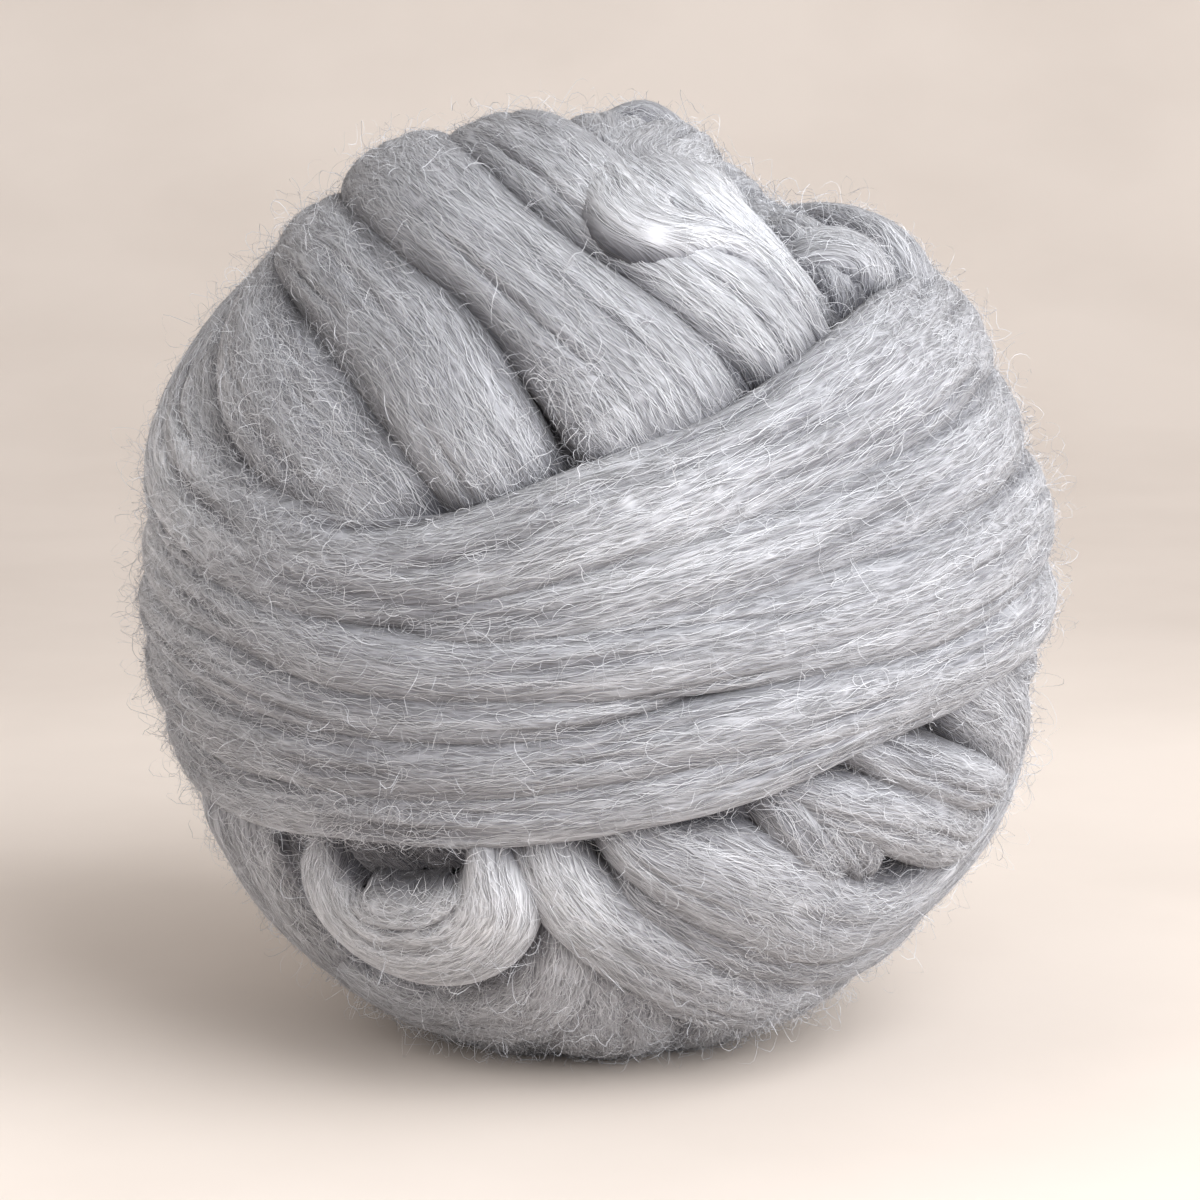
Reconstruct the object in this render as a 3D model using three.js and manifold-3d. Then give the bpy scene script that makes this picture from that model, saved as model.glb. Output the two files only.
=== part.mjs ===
// A ball of chunky unspun wool yarn, wound by hand from one thick soft strand and standing on the foot that
// its own weight has flattened. Millimetres, +Z up, the front towards -Y. The origin is the middle of the
// foot.
//
// Every turn of the strand is a band that hugs the ball. Its run is a short table of places on the ball:
// how far round from the front, how far up, how far its crown stands from the ball's centre, and how wide
// it is there. A turn starts and ends under its neighbours, where its crown is lower than the core. All
// turns and the core are one solid.

import * as THREE from "three";
import { mergeVertices } from "three/addons/utils/BufferGeometryUtils.js";
import Module from "manifold-3d";

const BALL_RADIUS = 130; // a usual turn's crown
const CENTRE_HEIGHT = 124; // less than the radius, because the foot is pressed flat
const CORE_RADIUS = 116; // the wound mass under the turns that show
const ROOT_RADIUS = 95; // how deep the walls of every turn reach, so that no air is sealed under it
const BELT_PUFF = 6; // how far a crown stands above its own edges, on the tight belt
const SLOPE_PUFF = 9; // and on the looser turns above and below it

const CORE_DETAIL = 6;
const CROWN_SIDES = 5;
const STEPS_PER_PLACE = 2;
const WELD_DISTANCE = 1e-3; // corners nearer than this are one
const WOOL = { color: 0xb9bcc4, roughness: 0.95, metalness: 0 };

// Columns of every run: degrees round, degrees up, mm from the centre to the crown, mm wide. The belt's
// turns cross the front, from the top edge down. A closed one goes round the ball and meets itself.
const BELT_TURNS = [
  {
    name: "belt_top",
    run: [
      [-120, 57, 112, 28],
      [-107, 49, 130, 32],
      [-96, 39, 134, 36],
      [-87, 30.5, 135.5, 38],
      [-77, 22.3, 135.5, 40],
      [-62, 16, 133.5, 39],
      [-40, 11.5, 131, 36],
      [-20, 12, 131, 31],
      [0, 18, 133, 33],
      [20, 24.5, 134, 34],
      [40, 31.5, 134.5, 40],
      [62, 37, 134, 42],
      [90, 39, 133, 40],
      [122, 38, 131, 36],
      [155, 36, 130, 34],
      [190, 34, 130, 34],
      [222, 34, 129.5, 35],
      [244, 36, 127, 34],
      [260, 38, 112, 28],
    ],
  },
  {
    name: "belt_second",
    run: [
      [-36, 3, 112, 10],
      [-22, 5, 127, 16],
      [-2, 8.5, 131, 23],
      [20, 14.3, 132.5, 28],
      [42, 19, 133, 30],
      [64, 23.5, 132, 32],
      [90, 26, 130, 32],
      [125, 25, 129, 32],
      [160, 22.5, 129, 32],
      [200, 20.5, 129, 33],
      [240, 20.5, 129, 34],
      [268, 19, 129, 32],
      [287, 14.5, 128, 28],
      [303, 10, 123, 22],
      [316, 7.5, 112, 18],
    ],
  },
  {
    name: "belt_third",
    closed: true,
    run: [
      [-75, 7.5, 130, 27],
      [-52, 4, 131, 23],
      [-30, 0.8, 131.5, 21],
      [-10, 0.3, 132, 21],
      [10, 3, 132.5, 25],
      [30, 6, 133, 34],
      [50, 9, 132.5, 38],
      [70, 11.5, 131, 38],
      [97, 13, 130, 34],
      [133, 12.5, 129, 30],
      [170, 10, 129, 28],
      [210, 8, 129, 28],
      [248, 8, 129, 28],
    ],
  },
  {
    name: "belt_fourth",
    run: [
      [26, -1, 114, 10],
      [6, -3.6, 129, 13],
      [-12, -5.5, 130.5, 17],
      [-32, -5.6, 130.5, 19],
      [-54, -2.6, 130.5, 21],
      [-77, -0.5, 130, 22],
      [-105, 0, 129, 25],
      [-142, 1, 129, 27],
      [-180, 1, 129, 27],
      [-218, 1, 128, 27],
      [-255, 2, 128, 26],
      [-280, 4, 122, 22],
      [-294, 5, 112, 18],
    ],
  },
  {
    name: "belt_fifth",
    closed: true,
    run: [
      [-75, -8.5, 130, 28],
      [-52, -11, 130, 29],
      [-30, -12.3, 131, 24],
      [-10, -11, 131.5, 20],
      [10, -7.6, 132, 22],
      [30, -4.6, 132, 25],
      [50, -1.9, 131.5, 24.5],
      [70, 0.4, 131, 24.5],
      [97, -0.3, 129.5, 27],
      [133, -4, 128, 30],
      [170, -8, 128, 30],
      [210, -10, 128, 30],
      [248, -9, 129, 30],
    ],
  },
  {
    name: "belt_bottom",
    run: [
      [82, 1, 112, 10],
      [70, -1.7, 122, 13],
      [58, -4.3, 127, 15.5],
      [46, -6.2, 128.5, 15.5],
      [36, -7.7, 130, 15.5],
      [28, -9.6, 131, 16.5],
      [10, -14.1, 131.5, 20.5],
      [-10, -17.5, 131, 21],
      [-31, -19.2, 130, 21],
      [-53, -20, 129, 25],
      [-77, -18, 128.5, 29],
      [-105, -18, 128, 30],
      [-142, -19, 128, 30],
      [-180, -19, 128, 30],
      [-218, -17, 128, 30],
      [-246, -14, 128, 30],
      [-268, -11, 127, 28],
      [-283, -8.5, 122, 24],
      [-295, -6, 112, 18],
    ],
  },
];

// The turns that slope down to the belt, from the left side to the right, and those that make the crest.
// The crest's fold is as flat as the belt's turns, so it has their puff.
const UPPER_TURNS = [
  {
    name: "slope_sliver",
    run: [
      [-93, 42, 112, 18],
      [-80, 33, 131, 23],
      [-68, 26.5, 131, 24],
      [-60, 22.5, 129.5, 22],
      [-52, 19, 126.5, 16],
      [-43, 14, 112, 12],
    ],
  },
  {
    name: "slope_left",
    run: [
      [-118, 55, 112, 26],
      [-98, 49.5, 131, 32],
      [-80, 43.5, 134, 36],
      [-65, 37, 134, 38],
      [-53.5, 32, 133.5, 43],
      [-44.5, 27.7, 132, 44],
      [-36.5, 23.3, 129.5, 44],
      [-28.5, 19, 127.5, 41],
      [-23, 14, 120.5, 37],
      [-18, 8, 112, 30],
    ],
  },
  {
    name: "slope_middle",
    run: [
      [-120, 52, 112, 26],
      [-100, 53.5, 134, 31],
      [-80, 52.5, 136.5, 33],
      [-58, 50, 136, 36],
      [-40, 44.5, 134, 41],
      [-28, 38.4, 132.5, 42],
      [-20.5, 31.8, 131, 41],
      [-14.5, 25.5, 128.5, 39],
      [-10.5, 20, 123, 37],
      [-8, 13.5, 112, 34],
    ],
  },
  {
    name: "slope_wide",
    run: [
      [-150, 55, 112, 30],
      [-124, 61, 132, 36],
      [-98, 65, 140.5, 38],
      [-66, 64.3, 141, 38],
      [-34, 58, 139, 37],
      [-16, 51.5, 135.5, 39],
      [-3.5, 44, 133.5, 45],
      [4, 38, 132, 51],
      [10.5, 31, 129.5, 57],
      [14.5, 24.5, 123, 55],
      [18, 16, 112, 48],
    ],
  },
  {
    name: "crest_fold",
    puff: BELT_PUFF,
    run: [
      [-30, 80, 122, 10],
      [-10, 75.5, 131, 12],
      [-2, 70, 136.5, 15],
      [3.6, 63.3, 139, 19.5],
      [6.4, 58.4, 140.5, 24.5],
      [9.6, 55.2, 141, 24.5],
      [14.8, 53.9, 140.5, 18.5],
      [20.4, 53.8, 139, 12.5],
      [25.1, 53, 138, 9.5],
      [29.3, 51.5, 137, 9.5],
      [32.5, 48.8, 135.5, 10.5],
      [34.5, 45.4, 134, 11],
      [36.2, 42.1, 131.5, 10.5],
      [38.5, 38, 126, 10],
      [41, 33, 112, 10],
    ],
  },
  {
    name: "crest_left",
    run: [
      [-172, 58, 112, 30],
      [-150, 70, 132, 36],
      [-110, 78, 138, 42],
      [-62, 77.6, 139.5, 42],
      [-26, 73.2, 139.5, 40],
      [-8, 67, 139, 37],
      [2, 60.5, 137.5, 33],
      [9.5, 55.2, 135.5, 31],
      [16.5, 50.6, 135, 33],
      [22.7, 46.2, 134, 35],
      [27.2, 41.8, 132.5, 34],
      [30.5, 37.5, 129.5, 33],
      [33, 33, 121, 32],
      [36, 27, 112, 28],
    ],
  },
  {
    name: "crest_right",
    run: [
      [162, 60, 112, 28],
      [148, 71, 131, 30],
      [112, 80, 135, 32],
      [50, 80, 134, 42],
      [19, 73.5, 133.5, 52],
      [22, 66.5, 134, 52],
      [27, 61, 133, 47],
      [32.8, 56.8, 131, 38],
      [37.8, 52, 129, 28],
      [41, 47.2, 127, 21],
      [43.8, 42.2, 122, 17],
      [46.3, 36.5, 112, 13],
    ],
  },
  {
    name: "crest_tuft",
    run: [
      [210, 73, 116, 14],
      [191, 75.2, 131, 20],
      [171, 75.9, 139.5, 24],
      [156, 75.4, 142, 24],
      [141, 74.5, 138, 22],
      [127, 73, 129, 18],
      [116, 71, 116, 14],
    ],
  },
  {
    name: "crest_under",
    run: [
      [-176, 62, 112, 24],
      [-178, 72, 132, 30],
      [172, 82, 136.5, 32],
      [16, 84, 134, 30],
      [11, 75, 130, 24],
      [14, 67, 112, 16],
    ],
  },
  {
    name: "shoulder_inner",
    run: [
      [92, 70, 112, 14],
      [76, 66, 119, 16],
      [64, 60, 127, 19],
      [57.5, 54, 129, 20],
      [53.5, 48, 127, 20],
      [51, 42.5, 122, 19],
      [49.5, 37, 112, 17],
    ],
  },
  {
    name: "shoulder_fold",
    run: [
      [50, 60, 112, 18],
      [54, 56.5, 127, 22],
      [58, 53, 132.5, 25],
      [61.5, 49.5, 132.5, 25],
      [63, 45, 127, 22],
      [62, 39, 112, 18],
    ],
  },
  {
    name: "shoulder_back",
    run: [
      [134, 60, 112, 24],
      [112, 61, 121, 26],
      [95, 57.5, 129, 28],
      [83, 52, 134, 28],
      [77, 46.5, 133.5, 28],
      [74, 41, 127, 26],
      [73, 34, 112, 22],
    ],
  },
  {
    name: "hollow_upper",
    run: [
      [84, 67, 112, 20],
      [106, 66, 118, 30],
      [126, 62, 124, 34],
      [141, 55, 128, 36],
      [152, 47, 126, 34],
      [160, 39, 112, 28],
    ],
  },
  {
    name: "hollow_lower",
    run: [
      [82, 47, 112, 24],
      [99, 51, 124, 30],
      [117, 50, 128, 33],
      [133, 46, 127, 32],
      [147, 40, 112, 26],
    ],
  },
];

// The turns under the belt, from the left side to the right, and those of the foot. The two narrow tucks
// have the belt's puff too.
const LOWER_TURNS = [
  {
    name: "low_side",
    run: [
      [-60, -12, 112, 30],
      [-63, -23, 128.5, 44],
      [-65, -33, 130, 40],
      [-68, -43, 131.5, 38],
      [-70, -53, 132.5, 36],
      [-64, -64, 132.5, 34],
      [-30, -73, 130, 30],
      [10, -76, 112, 24],
    ],
  },
  {
    name: "low_hollow",
    run: [
      [-8, -22, 112, 20],
      [-18, -23, 119.5, 32],
      [-28, -24.5, 121, 38],
      [-38, -24, 120.5, 34],
      [-48, -22, 116, 24],
      [-56, -20, 112, 18],
    ],
  },
  {
    name: "low_outer",
    run: [
      [-2, -24, 112, 18],
      [-4.5, -33, 125, 22],
      [-5.5, -40, 129.5, 26],
      [-9, -48, 132, 34],
      [-18, -55.5, 133, 38],
      [-33, -60, 133, 38],
      [-52, -59, 133, 36],
      [-72, -52, 131, 32],
      [-86, -42, 124, 28],
      [-92, -32, 112, 24],
    ],
  },
  {
    name: "low_loop",
    run: [
      [-15.5, -13, 112, 11],
      [-15, -20.5, 127.5, 11.5],
      [-14.1, -24.8, 133.5, 17.5],
      [-13.8, -28.2, 136.5, 25],
      [-15.8, -31.8, 137, 31.5],
      [-20.8, -35.4, 137, 37],
      [-28.5, -37.7, 135.5, 41.5],
      [-36.4, -37.9, 133.5, 40.5],
      [-41.7, -35, 131.5, 35],
      [-43, -30.6, 129, 25.5],
      [-42, -26.4, 126, 16],
      [-41.2, -21, 121, 12],
      [-40.5, -13, 112, 12],
    ],
  },
  {
    name: "low_sweep_first",
    run: [
      [-9.5, -13, 112, 16],
      [-8.3, -21.5, 127, 22],
      [-4.3, -29, 131, 27],
      [1.7, -35.5, 132, 30],
      [9.5, -41.5, 132.5, 34],
      [20, -48, 133, 38],
      [36, -54, 133, 40],
      [58, -57, 132, 38],
      [82, -55, 130, 36],
      [103, -50, 125, 32],
      [118, -45, 112, 28],
    ],
  },
  {
    name: "low_sweep_third",
    run: [
      [-1, -21, 112, 12],
      [3.5, -28, 126, 16],
      [10.5, -33.5, 128, 20],
      [18, -38, 129.5, 24],
      [27, -42.5, 130.5, 27],
      [40, -46.5, 131.5, 29],
      [56, -47.5, 131.5, 30],
      [76, -45, 130, 32],
      [95, -40, 126, 30],
      [110, -35, 112, 28],
    ],
  },
  {
    name: "low_sweep_second",
    run: [
      [-3, -13, 112, 14],
      [3, -20.5, 126.5, 20],
      [9.5, -24.6, 130.5, 31],
      [16.5, -27.5, 132.5, 39],
      [24.5, -31.4, 133, 39],
      [34, -35.9, 133, 36],
      [46, -38.8, 132.5, 37],
      [58, -38, 132, 38],
      [69, -34, 131.5, 38],
      [79, -27, 130.5, 37],
      [87, -18.5, 128, 34],
      [94, -9, 122, 30],
      [99, -1, 112, 24],
    ],
  },
  {
    name: "low_tuck_first",
    puff: BELT_PUFF,
    run: [
      [17, -9, 112, 14],
      [20, -13.5, 123, 16],
      [23.2, -17.5, 128, 17],
      [26.8, -21.6, 129.5, 16.5],
      [31, -25.2, 129, 16.5],
      [35.5, -29, 127, 16.5],
      [40, -33.5, 112, 14],
    ],
  },
  {
    name: "low_tuck_second",
    puff: BELT_PUFF,
    run: [
      [25, -12, 112, 20],
      [29.8, -18.5, 127, 21.5],
      [34.2, -22.6, 129, 21.5],
      [38.3, -26.3, 128.5, 20.5],
      [42, -30.3, 125.5, 17],
      [46.5, -35, 112, 12],
    ],
  },
  {
    name: "low_side_patch",
    run: [
      [43, 1, 112, 26],
      [52, -4.6, 126.5, 34],
      [62, -10.3, 129.5, 37],
      [71.5, -16.7, 129.5, 36],
      [80, -24, 126, 32],
      [88, -33, 112, 24],
    ],
  },
  {
    name: "low_band",
    run: [
      [14, -11, 112, 12],
      [21, -14.8, 124.5, 15],
      [30, -17.6, 129, 21],
      [39, -20.2, 131, 24],
      [49, -23.7, 131.5, 26.5],
      [60, -27.6, 131, 28],
      [72, -30.3, 128.5, 30],
      [85, -31, 123, 29],
      [97, -31, 112, 26],
    ],
  },
  {
    name: "low_band_upper",
    run: [
      [22, -4, 112, 10],
      [31, -9.2, 125.5, 14],
      [40, -13.2, 130, 18],
      [50, -16.6, 131.5, 19.5],
      [62, -20.3, 131, 19.5],
      [75, -24, 128.5, 18.5],
      [88, -26.5, 123.5, 18],
      [100, -27, 112, 16],
    ],
  },
  {
    name: "foot_middle",
    run: [
      [-4, -28, 112, 26],
      [-1, -39, 126.5, 36],
      [1, -50, 130.5, 44],
      [2, -60, 132.5, 48],
      [4, -72, 133, 48],
      [30, -86, 132, 44],
      [150, -84, 131, 40],
      [170, -73, 127, 38],
      [175, -63, 112, 34],
    ],
  },
  {
    name: "foot_left",
    run: [
      [-30, -48, 112, 34],
      [-32, -58, 128, 42],
      [-34, -68, 132.5, 46],
      [-44, -79, 132.5, 46],
      [-120, -84, 131, 40],
      [-160, -73, 126, 36],
      [-165, -64, 112, 30],
    ],
  },
  {
    name: "foot_right",
    run: [
      [34, -48, 112, 34],
      [38, -58, 129, 42],
      [42, -68, 132.5, 46],
      [60, -78, 132.5, 44],
      [120, -80, 131, 40],
      [138, -69, 124, 36],
      [142, -60, 112, 30],
    ],
  },
];

// Alike turns that lean the same way: behind, where nothing is known, above the belt and below it, and
// under the turns that show, where the gaps between those let a deeper layer be seen.
const FANS = [
  {
    name: "back_slope",
    count: 5,
    from: 156,
    pitch: 26,
    run: [
      [-34, 82, 112, 30],
      [-20, 70, 129, 38],
      [-6, 58, 131, 44],
      [6, 47, 129, 44],
      [14, 38, 124, 40],
      [20, 29, 112, 34],
    ],
  },
  {
    name: "back_foot",
    count: 7,
    from: 98,
    pitch: 28,
    run: [
      [-20, -10, 112, 40],
      [-12, -22, 126, 46],
      [-2, -34, 129.5, 46],
      [10, -45, 130.5, 46],
      [24, -56, 130, 42],
      [44, -67, 128, 36],
      [80, -76, 112, 28],
    ],
  },
  {
    name: "under_slope",
    count: 8,
    from: 20,
    pitch: 45,
    run: [
      [-64, 80, 112, 40],
      [-40, 66, 121, 56],
      [-20, 48, 121.5, 78],
      [-6, 30, 121, 84],
      [4, 14, 112, 80],
    ],
  },
  {
    name: "under_foot",
    count: 8,
    from: 20,
    pitch: 45,
    run: [
      [-20, 2, 112, 80],
      [-8, -14, 121, 84],
      [6, -32, 121.5, 80],
      [24, -52, 121.5, 64],
      [54, -70, 121, 44],
      [90, -80, 112, 30],
    ],
  },
];

// The unit direction of a place on the ball.
function directionTo(round, up) {
  const aroundZ = THREE.MathUtils.degToRad(round);
  const aboveLevel = THREE.MathUtils.degToRad(up);
  return new THREE.Vector3(
    Math.sin(aroundZ) * Math.cos(aboveLevel),
    -Math.cos(aroundZ) * Math.cos(aboveLevel),
    Math.sin(aboveLevel),
  );
}

// A run as two curves with one parameter: the direction of its middle, and its crown and width.
function curvesOf({ run, closed = false }) {
  const directions = run.map(([round, up]) => directionTo(round, up));
  const sizes = run.map(([, , crown, wide]) => new THREE.Vector3(crown, wide, 0));
  return {
    middle: new THREE.CatmullRomCurve3(directions, closed, "catmullrom"),
    size: new THREE.CatmullRomCurve3(sizes, closed, "catmullrom"),
  };
}

// A turn's section before it is bent onto the ball: a crown 2 wide and 1 high, on straight walls 1 deep.
function turnSection() {
  const crown = Array.from({ length: CROWN_SIDES + 1 }, (_, i) => {
    const angle = (i / CROWN_SIDES) * Math.PI;
    return new THREE.Vector2(Math.cos(angle), Math.sin(angle));
  });
  return new THREE.Shape([...crown, new THREE.Vector2(-1, -1), new THREE.Vector2(1, -1)]);
}

// Where a point of the section lies at a share of a turn's run. The section hugs the ball: across is an
// angle at the ball's centre, and height is radial, so that the walls lean apart like those of a wedge.
function pointOnTurn({ middle, size }, puff, { x, y }, share) {
  const up = middle.getPoint(share).normalize();
  const along = middle.getTangent(share).projectOnPlane(up).normalize();
  const across = new THREE.Vector3().crossVectors(up, along);
  const { x: crown, y: wide } = size.getPoint(share);
  const edge = crown - puff;
  const height = edge + y * (y > 0 ? puff : edge - ROOT_RADIUS);
  const lean = (x * wide) / 2 / BALL_RADIUS;
  return up
    .multiplyScalar(Math.cos(lean))
    .addScaledVector(across, Math.sin(lean))
    .multiplyScalar(height);
}

// A stretch of a turn: its section pushed out straight for the steps it needs, and then bent onto the ball.
function stretchGeometry(turn, puff, from, to) {
  const curves = curvesOf(turn);
  const segments = turn.closed ? turn.run.length : turn.run.length - 1;
  const steps = Math.round(STEPS_PER_PLACE * segments * (to - from));
  const geometry = new THREE.ExtrudeGeometry(turnSection(), { depth: 1, steps, bevelEnabled: false });
  const { position } = geometry.attributes;
  for (let i = 0; i < position.count; i++) {
    const straight = new THREE.Vector3().fromBufferAttribute(position, i);
    const bent = pointOnTurn(curves, puff, straight, from + (to - from) * straight.z);
    position.setXYZ(i, bent.x, bent.y, bent.z);
  }
  return geometry;
}

// A turn's stretches. A closed one is two halves that share a little at both ends, so no wall stays inside
// it.
function turnGeometries(turn, puff) {
  const shared = 1 / (STEPS_PER_PLACE * turn.run.length);
  return turn.closed
    ? [stretchGeometry(turn, puff, 0, 0.5 + shared), stretchGeometry(turn, puff, 0.5, 1 + shared)]
    : [stretchGeometry(turn, puff, 0, 1)];
}

// The copies of a fan's turn, each moved round the ball by the fan's pitch.
function fanTurns({ count, from, pitch, run }) {
  return Array.from({ length: count }, (_, i) => ({
    run: run.map(([round, ...rest]) => [round + from + i * pitch, ...rest]),
  }));
}

const wasm = await Module();
wasm.setup();

// A closed three.js geometry as a solid that can be joined and cut.
function solidOf(geometry) {
  const bare = geometry.clone();
  bare.deleteAttribute("normal");
  bare.deleteAttribute("uv");
  const merged = mergeVertices(bare, WELD_DISTANCE);
  const mesh = new wasm.Mesh({
    numProp: 3,
    vertProperties: merged.attributes.position.array,
    triVerts: new Uint32Array(merged.index.array),
  });
  return new wasm.Manifold(mesh);
}

// The geometry of a joined solid.
function geometryOf(solid) {
  const { vertProperties, triVerts } = solid.getMesh();
  const geometry = new THREE.BufferGeometry();
  geometry.setAttribute("position", new THREE.BufferAttribute(vertProperties, 3));
  geometry.setIndex(new THREE.BufferAttribute(triVerts, 1));
  geometry.computeVertexNormals();
  return geometry;
}

// The whole ball: the core and every turn joined, and all that lies under the surface it stands on cut
// away.
function woundBall() {
  const looseTurns = [...UPPER_TURNS, ...LOWER_TURNS, ...FANS.flatMap(fanTurns)];
  const turns = [
    ...BELT_TURNS.flatMap((turn) => turnGeometries(turn, BELT_PUFF)),
    ...looseTurns.flatMap((turn) => turnGeometries(turn, turn.puff ?? SLOPE_PUFF)),
  ];
  const core = new THREE.IcosahedronGeometry(CORE_RADIUS, CORE_DETAIL);
  const wound = turns.reduce((ball, turn) => ball.add(solidOf(turn)), solidOf(core));
  const ground = new THREE.BoxGeometry(4 * BALL_RADIUS, 4 * BALL_RADIUS, BALL_RADIUS);
  ground.translate(0, 0, -CENTRE_HEIGHT - BALL_RADIUS / 2);
  return wound.subtract(solidOf(ground));
}

const ball = new THREE.Mesh(geometryOf(woundBall()), new THREE.MeshStandardMaterial(WOOL));
ball.name = "wool_ball";
ball.position.z = CENTRE_HEIGHT;

const group = new THREE.Group();
group.add(ball);

export default group;
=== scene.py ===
"""The looks of a ball of chunky unspun wool yarn.

One thick soft strand of combed wool is wound by hand into a ball and stands on the foot that its own weight
has flattened. Every turn of the strand is a grid that hugs the ball, with the lengthwise folds that combed
wool has. Over the turns lie single fibres: combed ones along the strand, curly ones in the creases, and
loose ones that stand off the ball as a thin fuzz. Metres, +Z up, the front towards -Y, and the origin in
the middle of the foot.
"""

import logging
import math
from dataclasses import dataclass, field
from enum import Enum

import bpy
import numpy as np
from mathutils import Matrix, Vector


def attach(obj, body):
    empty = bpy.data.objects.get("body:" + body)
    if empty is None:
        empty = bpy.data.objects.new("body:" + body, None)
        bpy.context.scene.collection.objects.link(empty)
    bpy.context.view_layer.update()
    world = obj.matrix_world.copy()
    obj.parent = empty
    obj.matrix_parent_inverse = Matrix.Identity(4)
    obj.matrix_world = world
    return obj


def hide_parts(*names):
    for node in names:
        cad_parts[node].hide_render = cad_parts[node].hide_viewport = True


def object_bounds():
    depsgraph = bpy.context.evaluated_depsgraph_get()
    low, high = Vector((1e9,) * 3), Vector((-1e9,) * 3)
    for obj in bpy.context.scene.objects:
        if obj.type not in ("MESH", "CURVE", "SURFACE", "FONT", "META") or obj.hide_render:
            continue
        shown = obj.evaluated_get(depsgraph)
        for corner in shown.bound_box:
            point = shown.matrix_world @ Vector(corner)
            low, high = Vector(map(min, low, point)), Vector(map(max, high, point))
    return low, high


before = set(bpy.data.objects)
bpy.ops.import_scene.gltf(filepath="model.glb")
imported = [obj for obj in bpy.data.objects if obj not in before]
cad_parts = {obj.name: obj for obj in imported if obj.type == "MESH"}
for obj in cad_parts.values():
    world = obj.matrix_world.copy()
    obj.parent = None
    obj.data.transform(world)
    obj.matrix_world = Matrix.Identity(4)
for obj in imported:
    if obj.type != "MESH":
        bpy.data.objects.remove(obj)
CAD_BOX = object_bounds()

LOG = logging.getLogger("wool_ball")

BALL_RADIUS = 0.130  # a usual turn's crown
HIGH_CROWN = BALL_RADIUS + 0.001  # and a full one
CENTRE_HEIGHT = 0.124  # less than the radius, because the foot is pressed flat
CORE_RADIUS = 0.1165  # the wound mass under the turns that show
BELT_PUFF = 0.006  # how far a crown stands above its own edges, on the tight belt
SLOPE_PUFF = 0.009  # and on the looser turns above and below it
EXTRA_PUFF = 0.0025  # soft wool is rounder than its solid
STRAND_STEP = 0.0032  # between two rows of a turn's grid
STRAND_PITCH = 0.00085  # between two columns of it
WALL_DEPTHS = (0.012, 0.004)  # how far the walls under a crown's edge go in, from the lowest one up
CROWN_POWER = 2.2  # how square a crown is: 2 is half an ellipse
SWELL = 0.0005  # how much a strand swells and thins along its run
SWELL_WAY = 0.09  # and from one swelling to the next
FULLY_SHADED_FOLD = 0.0022  # a fold so deep gets the fullest painted shade
FINE_PARTS = 40  # parts between two places of a run, to measure its length
FIBRE_TIP = 0.03  # the share of a fibre's length from which it doesn't grow thinner
CELL_MARGIN = 0.1  # the empty rim of a fibre's cell on the flat layout, as a share of it
STANDS_PROUD = 0.0085  # how far fuzz may reach past the solid's box
CENTRE = np.array([0, 0, CENTRE_HEIGHT])

Place = tuple[float, float, float, float]


@dataclass(frozen=True)
class Turn:
    """A turn of the strand, or a fan of alike turns.

    Attributes:
        name: What the turn is called.
        run: Places along it: degrees round, degrees up, metres to the crown, metres wide.
        closed: Whether it goes round the ball and meets itself.
        puff: How far its crown stands above its edges.
        copies: How many alike turns the fan has.
        first: Degrees round of the first copy.
        pitch: Degrees round from one copy to the next.
    """

    name: str
    run: tuple[Place, ...]
    closed: bool = False
    puff: float = SLOPE_PUFF
    copies: int = 1
    first: float = 0.0
    pitch: float = 0.0

    def runs(self) -> list[np.ndarray]:
        """Turn the table round the ball for each copy, by its share of the fan.

        Returns:
            A table for each copy.
        """
        table = np.array(self.run, float)
        return [table + [self.first + copy * self.pitch, 0, 0, 0] for copy in range(self.copies)]


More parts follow.
